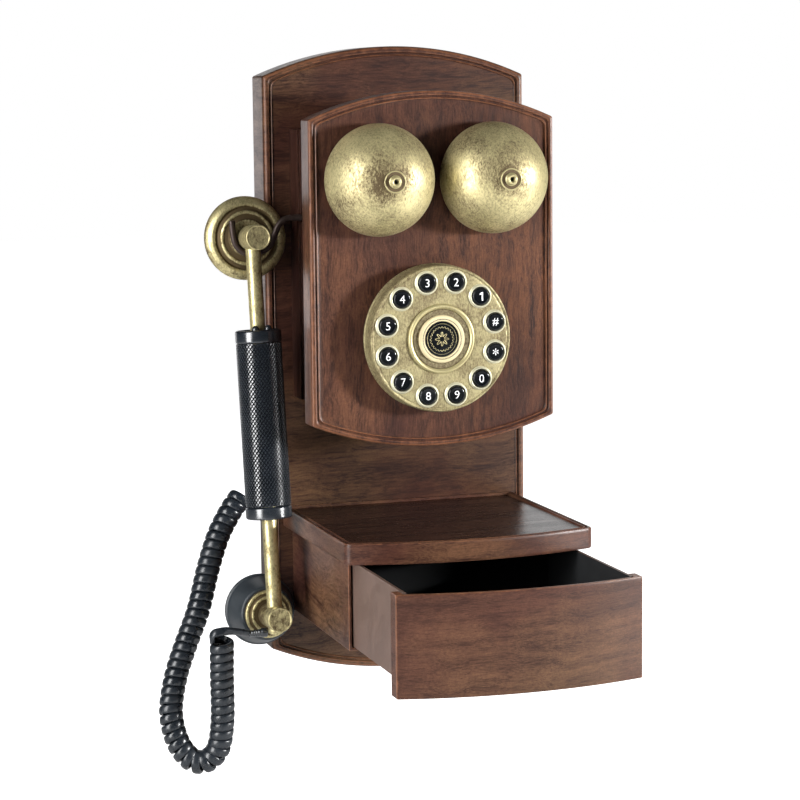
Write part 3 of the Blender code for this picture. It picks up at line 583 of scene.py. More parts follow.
def grime_group():
    """Faint dust and handling marks: a mask and a height for smooth plastics."""
    tree, given, out = start_group("Handling marks", [("Size", FLOAT, 60.0)],
                                   [("Mask", FLOAT), ("Height", FLOAT)])
    place = object_place(tree)
    smears = noise(tree, place, given["Size"], 6.0, 0.7)
    specks = noise(tree, place, maths(tree, "MULTIPLY", given["Size"], 14.0), 3.0, 0.6)
    return finish_group(tree, out, {"Mask": remap(tree, smears, 0.4, 0.7), "Height": specks})


GROUPS = {}
FINISHES = {}


def use_group(tree, maker, **values):
    """Places a shared group, which is built the first time that it is used."""
    if maker not in GROUPS:
        GROUPS[maker] = maker()
    return add_node(tree, "ShaderNodeGroup", values, node_tree=GROUPS[maker]).outputs


def start_material(name):
    material = bpy.data.materials.new(name)
    material.use_nodes = True
    return material, material.node_tree, material.node_tree.nodes["Principled BSDF"]


def bump_into(tree, shader, height, strength, distance):
    bump = add_node(tree, "ShaderNodeBump", {"Height": height, "Strength": strength, "Distance": distance})
    tree.links.new(bump.outputs["Normal"], shader.inputs["Normal"])


def finish_colour(name, tone=1.0):
    """A colour from the settings, darkened or lightened by a tone."""
    return tuple(min(1.0, tone * value) for value in getattr(bpy.context.scene.telephone_finish, name))


def stained_wood(name, stretch, fineness, gloss, lift, tone, patch):
    """Stained and lacquered wood: streaks between a deep, a body and a light colour, with patches of
    another colour and rubbed edges."""
    material, tree, shader = start_material(name)
    stain = use_group(tree, streak_group, Stretch=stretch, Fineness=fineness)
    wear = use_group(tree, wear_group)
    deep, mid, light, other, worn = (finish_colour(key, tone) for key in (
        "wood_deep", "wood_mid", "wood_light", patch, "wood_worn"))
    body = mix_colour(tree, maths(tree, "MULTIPLY", stain["Patches"], 0.75), mid, other)
    body = mix_colour(tree, stain["Streaks"], deep, body)
    cloudy = maths(tree, "MULTIPLY", stain["Clouds"], maths(tree, "ADD", stain["Streaks"], lift), clamp=True)
    body = mix_colour(tree, maths(tree, "MULTIPLY", cloudy, 0.7), body, light)
    body = mix_colour(tree, maths(tree, "MULTIPLY", stain["Pores"], 0.35), body, deep)
    socket_in(tree, shader, "Base Color", mix_colour(tree, wear["Mask"], body, worn))
    socket_in(tree, shader, "Roughness", remap(tree, stain["Streaks"], 0.0, 1.0, gloss + 0.1, gloss))
    shader.inputs["Specular IOR Level"].default_value = 0.25
    bump_into(tree, shader, stain["Height"], 0.22, 0.0004)
    return material


def antique_brass(name, amount, speckle, clouds, gloss, metal, tone):
    """Brass with patina left in the low places and a brushed, speckled rub."""
    material, tree, shader = start_material(name)
    patina = use_group(tree, patina_group, Amount=amount, Speckle=speckle, Clouds=clouds)
    bright, dark = (finish_colour(*key) for key in (("brass_bright", tone), ("brass_dark",)))
    socket_in(tree, shader, "Base Color", mix_colour(tree, patina["Mask"], bright, dark))
    socket_in(tree, shader, "Roughness", remap(tree, patina["Mask"], 0.0, 1.0, gloss, gloss + 0.3))
    shader.inputs["Metallic"].default_value = metal
    bump_into(tree, shader, patina["Height"], 0.25, 0.0003)
    return material


def smooth_plastic(name, base, tone, gloss, marks, metal, shine):
    """Moulded plastic, enamel or plain metal with faint handling marks in its gloss and colour."""
    material, tree, shader = start_material(name)
    handled = use_group(tree, grime_group)
    plain = finish_colour(base, tone) if isinstance(base, str) else base
    lighter = tuple(min(1.0, value * 1.25 + 0.006) for value in plain)
    socket_in(tree, shader, "Base Color", mix_colour(tree, handled["Mask"], plain, lighter))
    socket_in(tree, shader, "Roughness", remap(tree, handled["Mask"], 0.0, 1.0, gloss, gloss + marks))
    shader.inputs["Metallic"].default_value = metal
    shader.inputs["Specular IOR Level"].default_value = shine
    bump_into(tree, shader, handled["Height"], 0.08, 0.0002)
    return material


# Stretch of the streaks, their fineness, roughness, lift of the light streaks, tone, patch colour
WOODS = {
    "panel_wood": ((110, 110, 14), 1.2, 0.3, 0.0, 0.88, "wood_warm"),
    "board_wood": ((9, 12, 90), 1.2, 0.3, 0.0, 0.8, "wood_olive"),
    "shelf_wood": ((14, 14, 110), 1.8, 0.3, 0.0, 1.15, "wood_olive"),
    # The shelf's top: its dark wood toned down further to paint the shade that the panel above casts on it
    "shelf_top_wood": ((8, 60, 60), 0.6, 0.2, -0.5, 0.38, "wood_mid"),
    "front_wood": ((9, 9, 110), 2.4, 0.32, 0.15, 1.0, "wood_olive"),
    "case_wood": ((60, 7, 60), 1.3, 0.32, -0.1, 1.15, "wood_olive"),
    "housing_wood": ((60, 60, 6), 1.0, 0.3, -0.5, 0.5, "wood_warm"),
}
# Amount of patina, fineness of its speckle and its clouds, roughness, metallic value, tone
BRASSES = {
    "gong_brass": (0.42, 1100, 45, 0.34, 0.6, 1.12),
    "dial_brass": (0.55, 1000, 70, 0.40, 0.5, 0.72),
    "channel_brass": (0.75, 900, 800, 0.45, 0.35, 0.42),
    "rod_brass": (0.35, 1300, 160, 0.32, 0.75, 1.1),
    "coin_brass": (0.35, 700, 350, 0.34, 0.65, 1.0),
    # The flat ring round a gong screw: dark patina that paints the shade of a groove round the head
    "dark_patina": (1.6, 1500, 300, 0.5, 0.3, 0.5),
    "bright_brass": (-0.1, 1200, 90, 0.36, 0.5, 0.8),
}
# A colour of the settings or a plain one, tone, roughness, marks in it, metallic value, shine
PLAINS = {
    "smooth_brown": ("brown", 1.0, 0.42, 0.12, 0.0, 0.5),
    "collar_brass": ((0.52, 0.50, 0.36), 1.0, 0.34, 0.1, 0.4, 0.5),
    "key_black": ("black", 0.25, 0.13, 0.04, 0.0, 0.5),
    "horn_black": ((0.018, 0.023, 0.028), 1.0, 0.38, 0.12, 0.0, 0.5),
    "black_gloss": ("black", 1.0, 0.22, 0.06, 0.0, 0.8),
    "black_grip": ("black", 1.0, 0.2, 0.04, 0.0, 1.0),
    "black_matte": ("black", 1.6, 0.6, 0.12, 0.0, 0.5),
    # The drawer's inside: near-black, painting the shade in the drawer's hollow
    "black_inside": ("black", 0.25, 0.85, 0.12, 0.0, 0.5),
    "cord_black": ("black", 1.0, 0.24, 0.12, 0.0, 0.5),
    "cream": ("cream", 1.0, 0.35, 0.12, 0.0, 0.5),
    "white": ((0.85, 0.86, 0.88), 1.0, 0.4, 0.12, 0.0, 0.5),
    "bronze": ((0.035, 0.022, 0.018), 1.0, 0.34, 0.15, 0.6, 0.5),
    "steel": ((0.5, 0.51, 0.53), 1.0, 0.3, 0.15, 1.0, 0.5),
    "green_board": ((0.03, 0.16, 0.07), 1.0, 0.4, 0.12, 0.0, 0.5),
    "grey_rubber": ((0.12, 0.12, 0.13), 1.0, 0.75, 0.12, 0.0, 0.5),
}


def finish(name):
    """The named finish, made the first time it is asked for."""
    for maker, table in ((stained_wood, WOODS), (antique_brass, BRASSES), (smooth_plastic, PLAINS)):
        if name in table and name not in FINISHES:
            FINISHES[name] = maker(name, *table[name])
    return FINISHES[name]


# ---------------------------------------------------------------- work on whole pieces

def softened_copy(node, new_name, look, edge, sharp=30.0):
    """A merged copy of a CAD node with its flat faces made whole and its edges rounded. The rounding
    is worn; the flats are not."""
    source = frame["nodes"][node]
    mesh = source.data.copy()
    mesh.name = new_name
    bm = bmesh.new()
    bm.from_mesh(mesh)
    bmesh.ops.remove_doubles(bm, verts=bm.verts, dist=0.00001)
    bmesh.ops.dissolve_limit(bm, angle_limit=radians(0.5), verts=bm.verts, edges=bm.edges)
    corners = [e for e in bm.edges if len(e.link_faces) == 2 and e.calc_face_angle() > radians(sharp)]
    rounded = bmesh.ops.bevel(bm, geom=corners, offset=edge, segments=4, profile=0.5, affect="EDGES",
                              clamp_overlap=True)
    fresh = set(rounded["faces"])
    bm.verts.index_update()
    flat = list({vert.index for face in bm.faces if face not in fresh for vert in face.verts})
    bm.to_mesh(mesh)
    bm.free()
    worn = np.ones(len(mesh.vertices))
    worn[flat] = 0.0
    set_worn(mesh, worn)
    dress(mesh, look, 60.0)
    piece = new_object(new_name, mesh)
    piece.modifiers.new("flat faces", "WEIGHTED_NORMAL").keep_sharp = True
    return join_frame(piece, source["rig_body"], [node])


def carve(piece, cutters):
    """Takes closed shapes, given as (points, faces), out of a piece and keeps the carved mesh."""
    tools = [new_object("cutter", outward_mesh("cutter", points, faces)) for points, faces in cutters]
    for tool in tools:
        change = piece.modifiers.new("carve", "BOOLEAN")
        change.operation = "DIFFERENCE"
        change.solver = "EXACT"
        change.object = tool
    bpy.context.view_layer.update()
    graph = bpy.context.evaluated_depsgraph_get()
    carved = bpy.data.meshes.new_from_object(piece.evaluated_get(graph))
    piece.modifiers.clear()
    piece.data = carved
    for tool in tools:
        bpy.data.objects.remove(tool, do_unlink=True)
    carved.shade_smooth()
    carved.set_sharp_from_angle(angle=radians(35))
    return piece


def block(low, high):
    """Points and faces of a box between two corners."""
    corners = [(x, y, z) for x in (low[0], high[0]) for y in (low[1], high[1]) for z in (low[2], high[2])]
    faces = [[0, 1, 3, 2], [4, 6, 7, 5], [0, 4, 5, 1], [2, 3, 7, 6], [0, 2, 6, 4], [1, 5, 7, 3]]
    return corners, faces


def rod_shape(centre, radius, start, end, axes=FORWARD, sides=32):
    """Points and faces of a plain cylinder between two heights along an axis, in millimetres."""
    return closed_grid(turned_grid([(radius, start), (radius, end)], centre, axes, sides))


# ---------------------------------------------------------------- stage

# Place, width and height, and power in watts
SOFTBOXES = {
    "left_softbox": ((-1.22, -0.64, 0.24), (0.55, 1.3), 32.0),
    "right_softbox": ((1.10, -0.85, 0.16), (0.15, 0.20), 34.0),
    "front_fill": ((-0.4, -1.9, 0.9), (1.6, 1.0), 0.4),
    "back_fill": ((0.5, 1.6, 0.6), (1.2, 1.2), 5.0),
    "side_sheen": ((-0.62, 1.7, -0.05), (0.7, 0.8), 3.3),
}
FLOOR_REACH = 6.0
SURROUNDINGS = 0.015            # how brightly the pale surroundings light the telephone


class PHONE_OT_stage(bpy.types.Operator):
    """Adds the camera, the floor, the lights and the pale surroundings"""
    bl_idname = "phone.stage"
    bl_label = "Stage"

    def execute(self, context):
        stage = context.scene.telephone_stage
        self.add_camera(context, stage)
        self.add_floor(stage)
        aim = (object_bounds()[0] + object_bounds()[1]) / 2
        for name, (place, size, power) in SOFTBOXES.items():
            self.add_softbox(name, place, aim, size, power)
        self.add_world(context)
        context.scene.view_settings.view_transform = "Standard"
        return {"FINISHED"}

    def add_camera(self, context, stage):
        data = bpy.data.cameras.new("camera")
        data.sensor_width = 36.0
        data.lens = stage.lens
        camera = new_object("camera", data)
        aim = Matrix.Rotation(-stage.turn, 4, "Z") @ Matrix.Rotation(pi / 2 - stage.dip, 4, "X")
        camera.matrix_world = Matrix.Translation(stage.eye) @ aim @ Matrix.Rotation(stage.roll, 4, "Z")
        context.scene.camera = camera

    def add_floor(self, stage):
        corners = [(FLOOR_REACH * x, FLOOR_REACH * y, -stage.floor)
                   for x, y in ((-1, -1), (1, -1), (1, 1), (-1, 1))]
        mesh = bpy.data.meshes.new("floor")
        mesh.from_pydata(corners, [], [(0, 1, 2, 3)])
        material, tree, shader = start_material("pale_floor")
        shader.inputs["Base Color"].default_value = (0.86, 0.86, 0.86, 1.0)
        shader.inputs["Roughness"].default_value = 0.8
        shader.inputs["Emission Color"].default_value = (1.0, 1.0, 1.0, 1.0)
        seen = add_node(tree, "ShaderNodeLightPath").outputs["Is Camera Ray"]
        socket_in(tree, shader, "Emission Strength", seen)
        mesh.materials.append(material)
        new_object("floor", mesh)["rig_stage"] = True

    def add_softbox(self, name, place, aim, size, power):
        data = bpy.data.lights.new(name, "AREA")
        data.shape = "RECTANGLE"
        data.size, data.size_y = size
        data.energy = power
        light = new_object(name, data)
        light.location = place
        light.rotation_euler = (aim - Vector(place)).to_track_quat("-Z", "Y").to_euler()

    def add_world(self, context):
        world = bpy.data.worlds.new("studio")
        world.use_nodes = True
        tree = world.node_tree
        background = tree.nodes["Background"]
        background.inputs["Color"].default_value = (1.0, 1.0, 1.0, 1.0)
        seen = add_node(tree, "ShaderNodeLightPath").outputs["Is Camera Ray"]
        socket_in(tree, background, "Strength", remap(tree, seen, 0.0, 1.0, SURROUNDINGS, 1.0))
        context.scene.world = world


# ---------------------------------------------------------------- cord

BODY_LEAD_MM = ((-84.4, -13, -66), (-85.8, -13, -66.2), (-86.8, -13.2, -67.6), (-87.3, -13.8, -71),
                (-87.5, -14.6, -75.0))
CURL_MM = ((-91.5, -14.8, -74.6), (-94.6, -15.2, -77.8), (-99.2, -16, -84), (-106.3, -18, -96),
           (-113.4, -21, -114.6), (-120.1, -25, -135.8), (-129.4, -29, -156.3), (-135.7, -32, -172.6),
           (-139.5, -36, -190.7), (-137.0, -40, -206.6), (-130.5, -43.5, -216.4), (-123.6, -46, -218),
           (-117.7, -47.5, -213.9), (-114.6, -48.5, -206.8), (-113.2, -50, -191.5), (-113.6, -52, -167.4),
           (-113.5, -53.3, -147.6))
HANDSET_LEAD_MM = ((-119.5, -55.8, -143.6), (-116.4, -57.0, -142.3), (-111, -57.0, -142.0),
                   (-105, -57.1, -142.9), (-101.2, -57.2, -143.7), (-99.4, -57.2, -144.0))
CURL_STEP, CORD_STEP = 0.25 * MM, 0.95 * MM     # spacing of the curl's axis and of the cord's rings
END_TURN = 1.05 * pi                            # where the last curl meets the handset's lead
SMOOTHING = 5                                   # neighbours that are averaged
STRETCH_FROM = 0.66                             # share of the curl before the blend along the cord starts


class PHONE_OT_cord(bpy.types.Operator):
    """Adds the curly handset cord and its plug"""
    bl_idname = "phone.cord"
    bl_label = "Handset cord"

    def execute(self, context):
        sizes = context.scene.telephone_cord
        path, outward, share = self.wire(sizes)
        grid = tube_grid(path, outward, sizes.wide / 2, sizes.thick / 2, 16, 0.72)
        cord = make_piece("handset_cord", *closed_grid(grid), "cord_black", None, "cord", sharp=60.0)
        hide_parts("cord_lead_body", "curly_cord", "cord_lead_handset")
        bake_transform(cord)
        self.stretch_along(cord, share, grid.shape)
        plug = softened_copy("cord_plug", "jack_plug", "black_gloss", 0.6 * MM)
        return {"FINISHED"}

    def wire(self, sizes):
        """Centre line of the flat cord: a lead, a helix about the curl's axis, and a lead. A helix
        point is the axis point plus the curl's radius times the cosine and sine of the turn angle
        along two directions square to the axis."""
        axis = smooth_route(CURL_MM, CURL_STEP)
        along = unit(np.gradient(axis, axis=0))
        back = unit(np.array((0, 1.0, 0)) - along[:, 1:2] * along)
        side = np.cross(back, along)
        share = np.linspace(0, 1, len(axis))
        angle = (2 * pi * sizes.turns * (share - 1) + END_TURN)[:, None]
        radial = np.cos(angle) * side + np.sin(angle) * back
        helix = axis + (sizes.curl - sizes.thick) / 2 * radial
        lead_in = smooth_route(np.vstack([BODY_LEAD_MM, helix[:1] / MM]))
        lead_out = smooth_route(np.vstack([helix[-1:] / MM, HANDSET_LEAD_MM]))
        path = np.vstack([lead_in[:-1], helix, lead_out[1:]])
        outward = np.vstack([np.repeat(radial[:1], len(lead_in) - 1, 0), radial,
                             np.repeat(radial[-1:], len(lead_out) - 1, 0)])
        place = np.concatenate([np.zeros(len(lead_in) - 1), share, np.ones(len(lead_out) - 1)])
        return self.settle(path, outward, place)

    def settle(self, path, outward, place):
        """Evenly spaced points, with the path and its outward directions averaged over a few
        neighbours so that the leads run into the curl without a kink."""
        walked = np.concatenate([[0], np.cumsum(np.linalg.norm(np.diff(path, axis=0), axis=1))])
        at = np.linspace(0, walked[-1], int(walked[-1] / CORD_STEP))
        even = [np.interp(at, walked, column) for column in np.column_stack([path, outward, place]).T]
        kernel = np.ones(SMOOTHING) / SMOOTHING
        padded = [np.pad(column, SMOOTHING // 2, mode="edge") for column in even]
        even = np.stack(even, axis=-1)
        smooth = np.stack([np.convolve(column, kernel, "valid") for column in padded], axis=-1)
        smooth[[0, -1], :3] = even[[0, -1], :3]
        return smooth[:, :3], unit(smooth[:, 3:6]), smooth[:, 6]

    def stretch_along(self, cord, share, shape):
        """Works out a blend along the cord's own length, which starts at the bottom of the loop and is whole
        where the curl ends; the blend is not used."""
        weight = np.clip((share - STRETCH_FROM) / (1 - STRETCH_FROM), 0, 1)
        weight = weight * weight * (3 - 2 * weight)


# ---------------------------------------------------------------- boards

# Rows of (inset, depth, corner radius, wear), from the middle of the back round to the middle of the face
PANEL_ROWS_MM = (
    (9, 15.6, 2, 0), (0.8, 15.6, 1.4, 0), (0.25, 15.35, 1.3, 0.3), (0, 14.8, 1.2, 0.5), (0, 13.0, 1.2, 0.1),
    (0, 2.4, 1.2, 0.1), (0, 1.3, 1.2, 0.5), (0.25, 0.45, 1.2, 1.0), (0.8, 0.05, 1.5, 1.0),
    (1.6, -0.05, 2.0, 0.6), (2.3, 0.02, 2.5, 0.9), (2.7, 0.30, 3.0, 0.7), (2.95, 0.95, 3.2, 0),
    (3.45, 1.0, 3.6, 0), (3.75, 0.45, 4.0, 0.8), (4.1, 0.22, 4.4, 1.0), (4.5, 0.40, 4.9, 0.8),
    (4.8, 1.05, 5.3, 0.1), (5.4, 1.2, 5.8, 0), (7.0, 1.2, 6.5, 0), (24, 1.2, 9, 0))
BOARD_ROWS_MM = (
    (9, 24.5, 2, 0), (1.2, 24.5, 1.6, 0), (0.35, 24.15, 1.6, 0.4), (0, 23.3, 1.6, 0.3), (0, 21, 1.6, 0),
    (0, 3.4, 1.6, 0), (0.1, 2.2, 1.6, 0.3), (0.55, 1.0, 1.8, 0.9), (1.3, 0.3, 2.2, 1.0), (2.3, 0, 2.8, 0.6),
    (3.2, 0.1, 3.2, 0.9), (3.6, 0.5, 3.6, 0.5), (3.9, 1.3, 4.0, 0), (4.4, 1.35, 4.4, 0),
    (4.65, 0.8, 4.7, 0.8), (4.95, 0.6, 5.0, 1.0), (5.3, 0.8, 5.4, 0.6), (5.6, 1.2, 5.8, 0),
    (7.5, 1.2, 7, 0), (24, 1.2, 9, 0))
SHELF_ROWS_MM = (
    (20, 11.4, 6, 0), (0.9, 11.4, 4.2, 0), (0.2, 11.15, 4.4, 0.4), (0, 10.6, 4.6, 0.4), (0, 9.4, 4.6, 0),
    (0, 1.8, 4.6, 0), (0, 0.9, 4.6, 0.4), (0.3, 0.25, 4.5, 0.8), (0.9, 0, 4.3, 0.5), (1.5, 0.1, 4.1, 0.2),
    (1.85, 0.95, 3.9, 0), (2.35, 1.0, 3.7, 0), (2.7, 0.25, 3.5, 0.5), (3.2, 0, 3.3, 0.9),
    (3.7, 0.2, 3.1, 0.5), (4.1, 1.1, 3.0, 0), (4.7, 1.3, 3, 0), (7, 1.3, 3, 0), (20, 1.3, 3, 0))


class PHONE_OT_boards(bpy.types.Operator):
    """Adds the backboard, the front panel and the housing between them"""
    bl_idname = "phone.boards"
    bl_label = "Boards and housing"

    def execute(self, context):
        sizes = context.scene.telephone_boards
        board = arched_board("backboard_body", "backboard", BOARD_ROWS_MM, sizes.board_rise,
                             sizes.board_rise, "board_wood")
        carve(board, self.pockets())
        arched_board("front_panel_body", "front_panel", PANEL_ROWS_MM, sizes.panel_rise_low,
                     sizes.panel_rise_high, "panel_wood")
        softened_copy("housing", "housing_body", "housing_wood", sizes.edge)
        return {"FINISHED"}

    def pockets(self):
        """Seats for the two keyhole hangers, with a well behind each, and for the two jacks."""
        gap = np.full(3, 0.3 * MM)
        shapes = []
        well_low, well_high = np.array(((-8, -9, -12), (8, 1, 12))) * MM
        for node in ("keyhole_hanger_left", "keyhole_hanger_right"):
            low, high = (np.array(corner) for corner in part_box(node))
            shapes.append(block(low - gap, high + gap + (0, 1 * MM, 0)))
            at = middle(node) * (1, 0, 1)
            shapes.append(block(at + well_low, at + well_high))
        for node, way in (("handset_jack", -1), ("line_jack", 1)):
            low, high = (np.array(corner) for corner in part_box(node))
            out = np.array((5 * MM * way, 0, 0))
            shapes.append(block(low - gap + np.minimum(out, 0), high + gap + np.maximum(out, 0)))
        return shapes


BOW_POINTS, FRONT_ROWS = 90, 24
WORN_REACH = (1.6, 1.4)         # how far the wear reaches in from the front's long and short edges


class PHONE_OT_shelf(bpy.types.Operator):
    """Adds the bowed shelf, the drawer housing and the drawer"""
    bl_idname = "phone.shelf"
    bl_label = "Shelf and drawer"

    def execute(self, context):
        sizes = context.scene.telephone_boards
        self.add_shelf(sizes)
        softened_copy("drawer_housing", "drawer_housing_body", "case_wood", sizes.edge)
        self.add_tray()
        self.add_front(sizes)
        return {"FINISHED"}

    def add_shelf(self, sizes):
        """The shelf's top is a darker finish than its edges: dark wood, toned down further to paint the shade
        that the panel above casts on it.
        """
        board = arched_board("shelf_board", "shelf", SHELF_ROWS_MM, sizes.shelf_bow, STRAIGHT, "shelf_wood",
                             lying=True, back_corner=0.3 * MM)
        second_finish(board, "shelf_top_wood", polygon_values(board, "normal")[:, 2] > 0.95)

    def add_tray(self):
        """The drawer's box, brown outside and black inside its walls: the black paints the shade in the
        drawer's hollow.
        """
        tray = softened_copy("drawer_box", "drawer_tray", "smooth_brown", 0.3 * MM)
        low, high = (np.array(corner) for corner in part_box("drawer_box"))
        wall = np.array((1.5, 3.0, 1.5)) * MM
        top_face = np.array((1.5, 1.5, 0.1)) * MM
        centres = polygon_values(tray, "center")
        second_finish(tray, "black_inside", ((centres > low + wall) & (centres < high - top_face)).all(1))

    def add_front(self, sizes):
        """The drawer's front: a bowed plate with a short return at each end. In plan, the outer line
        is an arc about one centre between two straight returns, and the inner line follows it at the
        plate's thickness; this closed line is carried up, drawn in slightly at its two ends."""
        low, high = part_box("drawer_front")
        half, skin = (high.x - low.x) / 2, sizes.drawer_skin
        corner = low.y + sizes.drawer_bow
        radius = (half ** 2 + sizes.drawer_bow ** 2) / (2 * sizes.drawer_bow)
        centre = corner + radius - sizes.drawer_bow
        inner_half = span("drawer_box", 0)[1] + 0.3 * MM

        def bow(left, right, reach):
            across = np.linspace(left, right, BOW_POINTS)
            return np.stack([across, centre - np.sqrt(reach ** 2 - across ** 2)], axis=-1)

        def outline(inset):
            wide, narrow, back = half - inset, inner_half + inset, high.y - inset
            outer = bow(-wide, wide, radius - inset)
            inner = bow(narrow, -narrow, radius - skin + inset)
            right = np.array(((wide, back), (narrow, back)))
            left = right[::-1] * (-1, 1)
            lines = (outer, right, inner, left)
            joints = [self.between(line[-1], after[0]) for line, after in zip(lines, lines[1:] + lines[:1])]
            return np.vstack([part for pair in zip(lines, joints) for part in pair])

        ends = [(0, 0.35), (0.1, 0.1), (0.35, 0), (1.6, 0), (3.5, 0)]
        rise = (high.z - low.z) / MM
        middle_rows = [(rise * i / FRONT_ROWS, 0) for i in range(3, FRONT_ROWS - 2)]
        levels = ends + middle_rows + [(rise - z, inset) for z, inset in ends[::-1]]
        rings, worn = [], []
        for z, inset in levels:
            plan = outline(inset * MM)
            rings.append(np.column_stack([plan, np.full(len(plan), low.z + z * MM)]))
            near_end = max(0.0, 1 - min(z, rise - z) / WORN_REACH[0])
            near_side = np.clip(1 - (half - np.abs(plan[:, 0])) / MM / WORN_REACH[1], 0, 1)
            worn.append(np.maximum(0.9 * near_end, near_side * (plan[:, 1] < corner + 3 * MM)))
        rings = np.array(rings)
        rows, columns = rings.shape[:2]
        faces = grid_faces(rows, columns).tolist()
        faces += [list(range(columns)), list(range((rows - 1) * columns, rows * columns))]
        make_piece("drawer_front_plate", rings, faces, "front_wood", "drawer", "wood", ["drawer_front"],
                   worn=worn, sharp=30.0)

    def between(self, start, end, count=5):
        """Points strictly between two plan points."""
        share = np.linspace(0, 1, count + 2)[1:-1, None]
        return start * (1 - share) + end * share


# ---------------------------------------------------------------- bells

RIM_ROLL = 0.35
CROWN_PATINA, CROWN_REACH = 0.55, 12.0


class PHONE_OT_bells(bpy.types.Operator):
    """Adds the two gongs, their screws and the rings round them"""
    bl_idname = "phone.bells"
    bl_label = "Gongs"

    def execute(self, context):
        for side in ("left", "right"):
            self.add_gong(context.scene.telephone_bells, side)
        return {"FINISHED"}

    def add_gong(self, sizes, side):
        """A quarter ellipse turned about the gong's axis, outside and in, with a rolled rim. The
        patina lies thickest round the screw."""
        low, high = (np.array(corner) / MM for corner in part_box("gong_" + side))
        radius, depth = (high[0] - low[0]) / 2, high[1] - low[1] + 0.1
        wall, hole = sizes.wall / MM, sizes.hole / MM
        centre = middle("gong_" + side) * (1, 0, 1) + (0, high[1] * MM, 0)

        def bowl(wide, deep, count=44):
            tip = np.arccos(hole / wide)
            t = np.linspace(0, tip, count)
            return np.stack([wide * np.cos(t), deep * np.sin(t)], axis=-1)

        outer = bowl(radius, depth)[::-1]
        inner = bowl(radius - wall, depth - wall)
        bead = np.linspace(0, pi, 8)[1:-1]
        rim = np.stack([radius - wall / 2 + wall / 2 * np.cos(bead), RIM_ROLL * (1 - np.sin(bead))], axis=-1)
        outer[-1, 1] = inner[0, 1] = RIM_ROLL
        bowl_line = np.vstack([outer, rim, inner])
        settled = CROWN_PATINA * np.exp(-(bowl_line[:, 0] / CROWN_REACH) ** 2)
        turned_piece("gong_bowl_" + side, bowl_line, centre, "gong_brass", "wall_unit", "brass",
                     ["gong_" + side], sides=144, ring=True, sharp=50.0, worn=settled)

        def crown(at):
            return depth * np.sqrt(1 - (at / radius) ** 2)

        wide, thick = sizes.ring / MM, 0.42
        ring = [(wide + thick * cos(turn), crown(wide) + 0.15 + thick * sin(turn))
                for turn in np.linspace(0, 2 * pi, 11)[:-1]]
        turned_piece("gong_ring_" + side, ring, centre, "bright_brass", "wall_unit", "brass", ring=True,
                     sharp=60.0)
        head = depth - 0.1
        screw = raised([(0, -0.6), (1.35, -0.6), (1.35, 2.1), (2.1, 2.5), (2.75, 2.1), (2.9, 0.9),
                        (3.55, 0.5), (3.55, 0.1), (1.8, 0), (1.8, -6.4), (0, -6.4)], head)
        turned_piece("gong_eyelet_" + side, eased(screw, 0.25), centre, "bright_brass", "wall_unit", "brass",
                     ["gong_screw_" + side], sides=48)
        # A black disc paints the shade at the bottom of the screw's socket, and a flat dark patina ring
        # paints the shade of a groove round its head
        for name, inner_r, outer_r, base, look in (("well", 0, 1.3, head - 0.6, "black_matte"),
                                                   ("groove", 3.6, 5.2, crown(4.4) + 0.12, "dark_patina")):
            disc = raised([(inner_r, 0), (inner_r, 0.12), (outer_r, 0.12), (outer_r, 0)], base)
            turned_piece(f"gong_{name}_{side}", disc, centre, look, "wall_unit", "black_matte", sides=40,
                         ring=inner_r > 0)


# ---------------------------------------------------------------- keypad

COLLAR_HEIGHT = 1.3             # how far the key collars of the CAD face stand proud, in millimetres
FIRST_KEY, KEY_STEP = 15, 30    # place of the first key and the step to the next, in degrees
DIGIT_HALF = 0.06 * MM          # half the thickness of a digit
DOTS = 80                       # dots round the cream ring


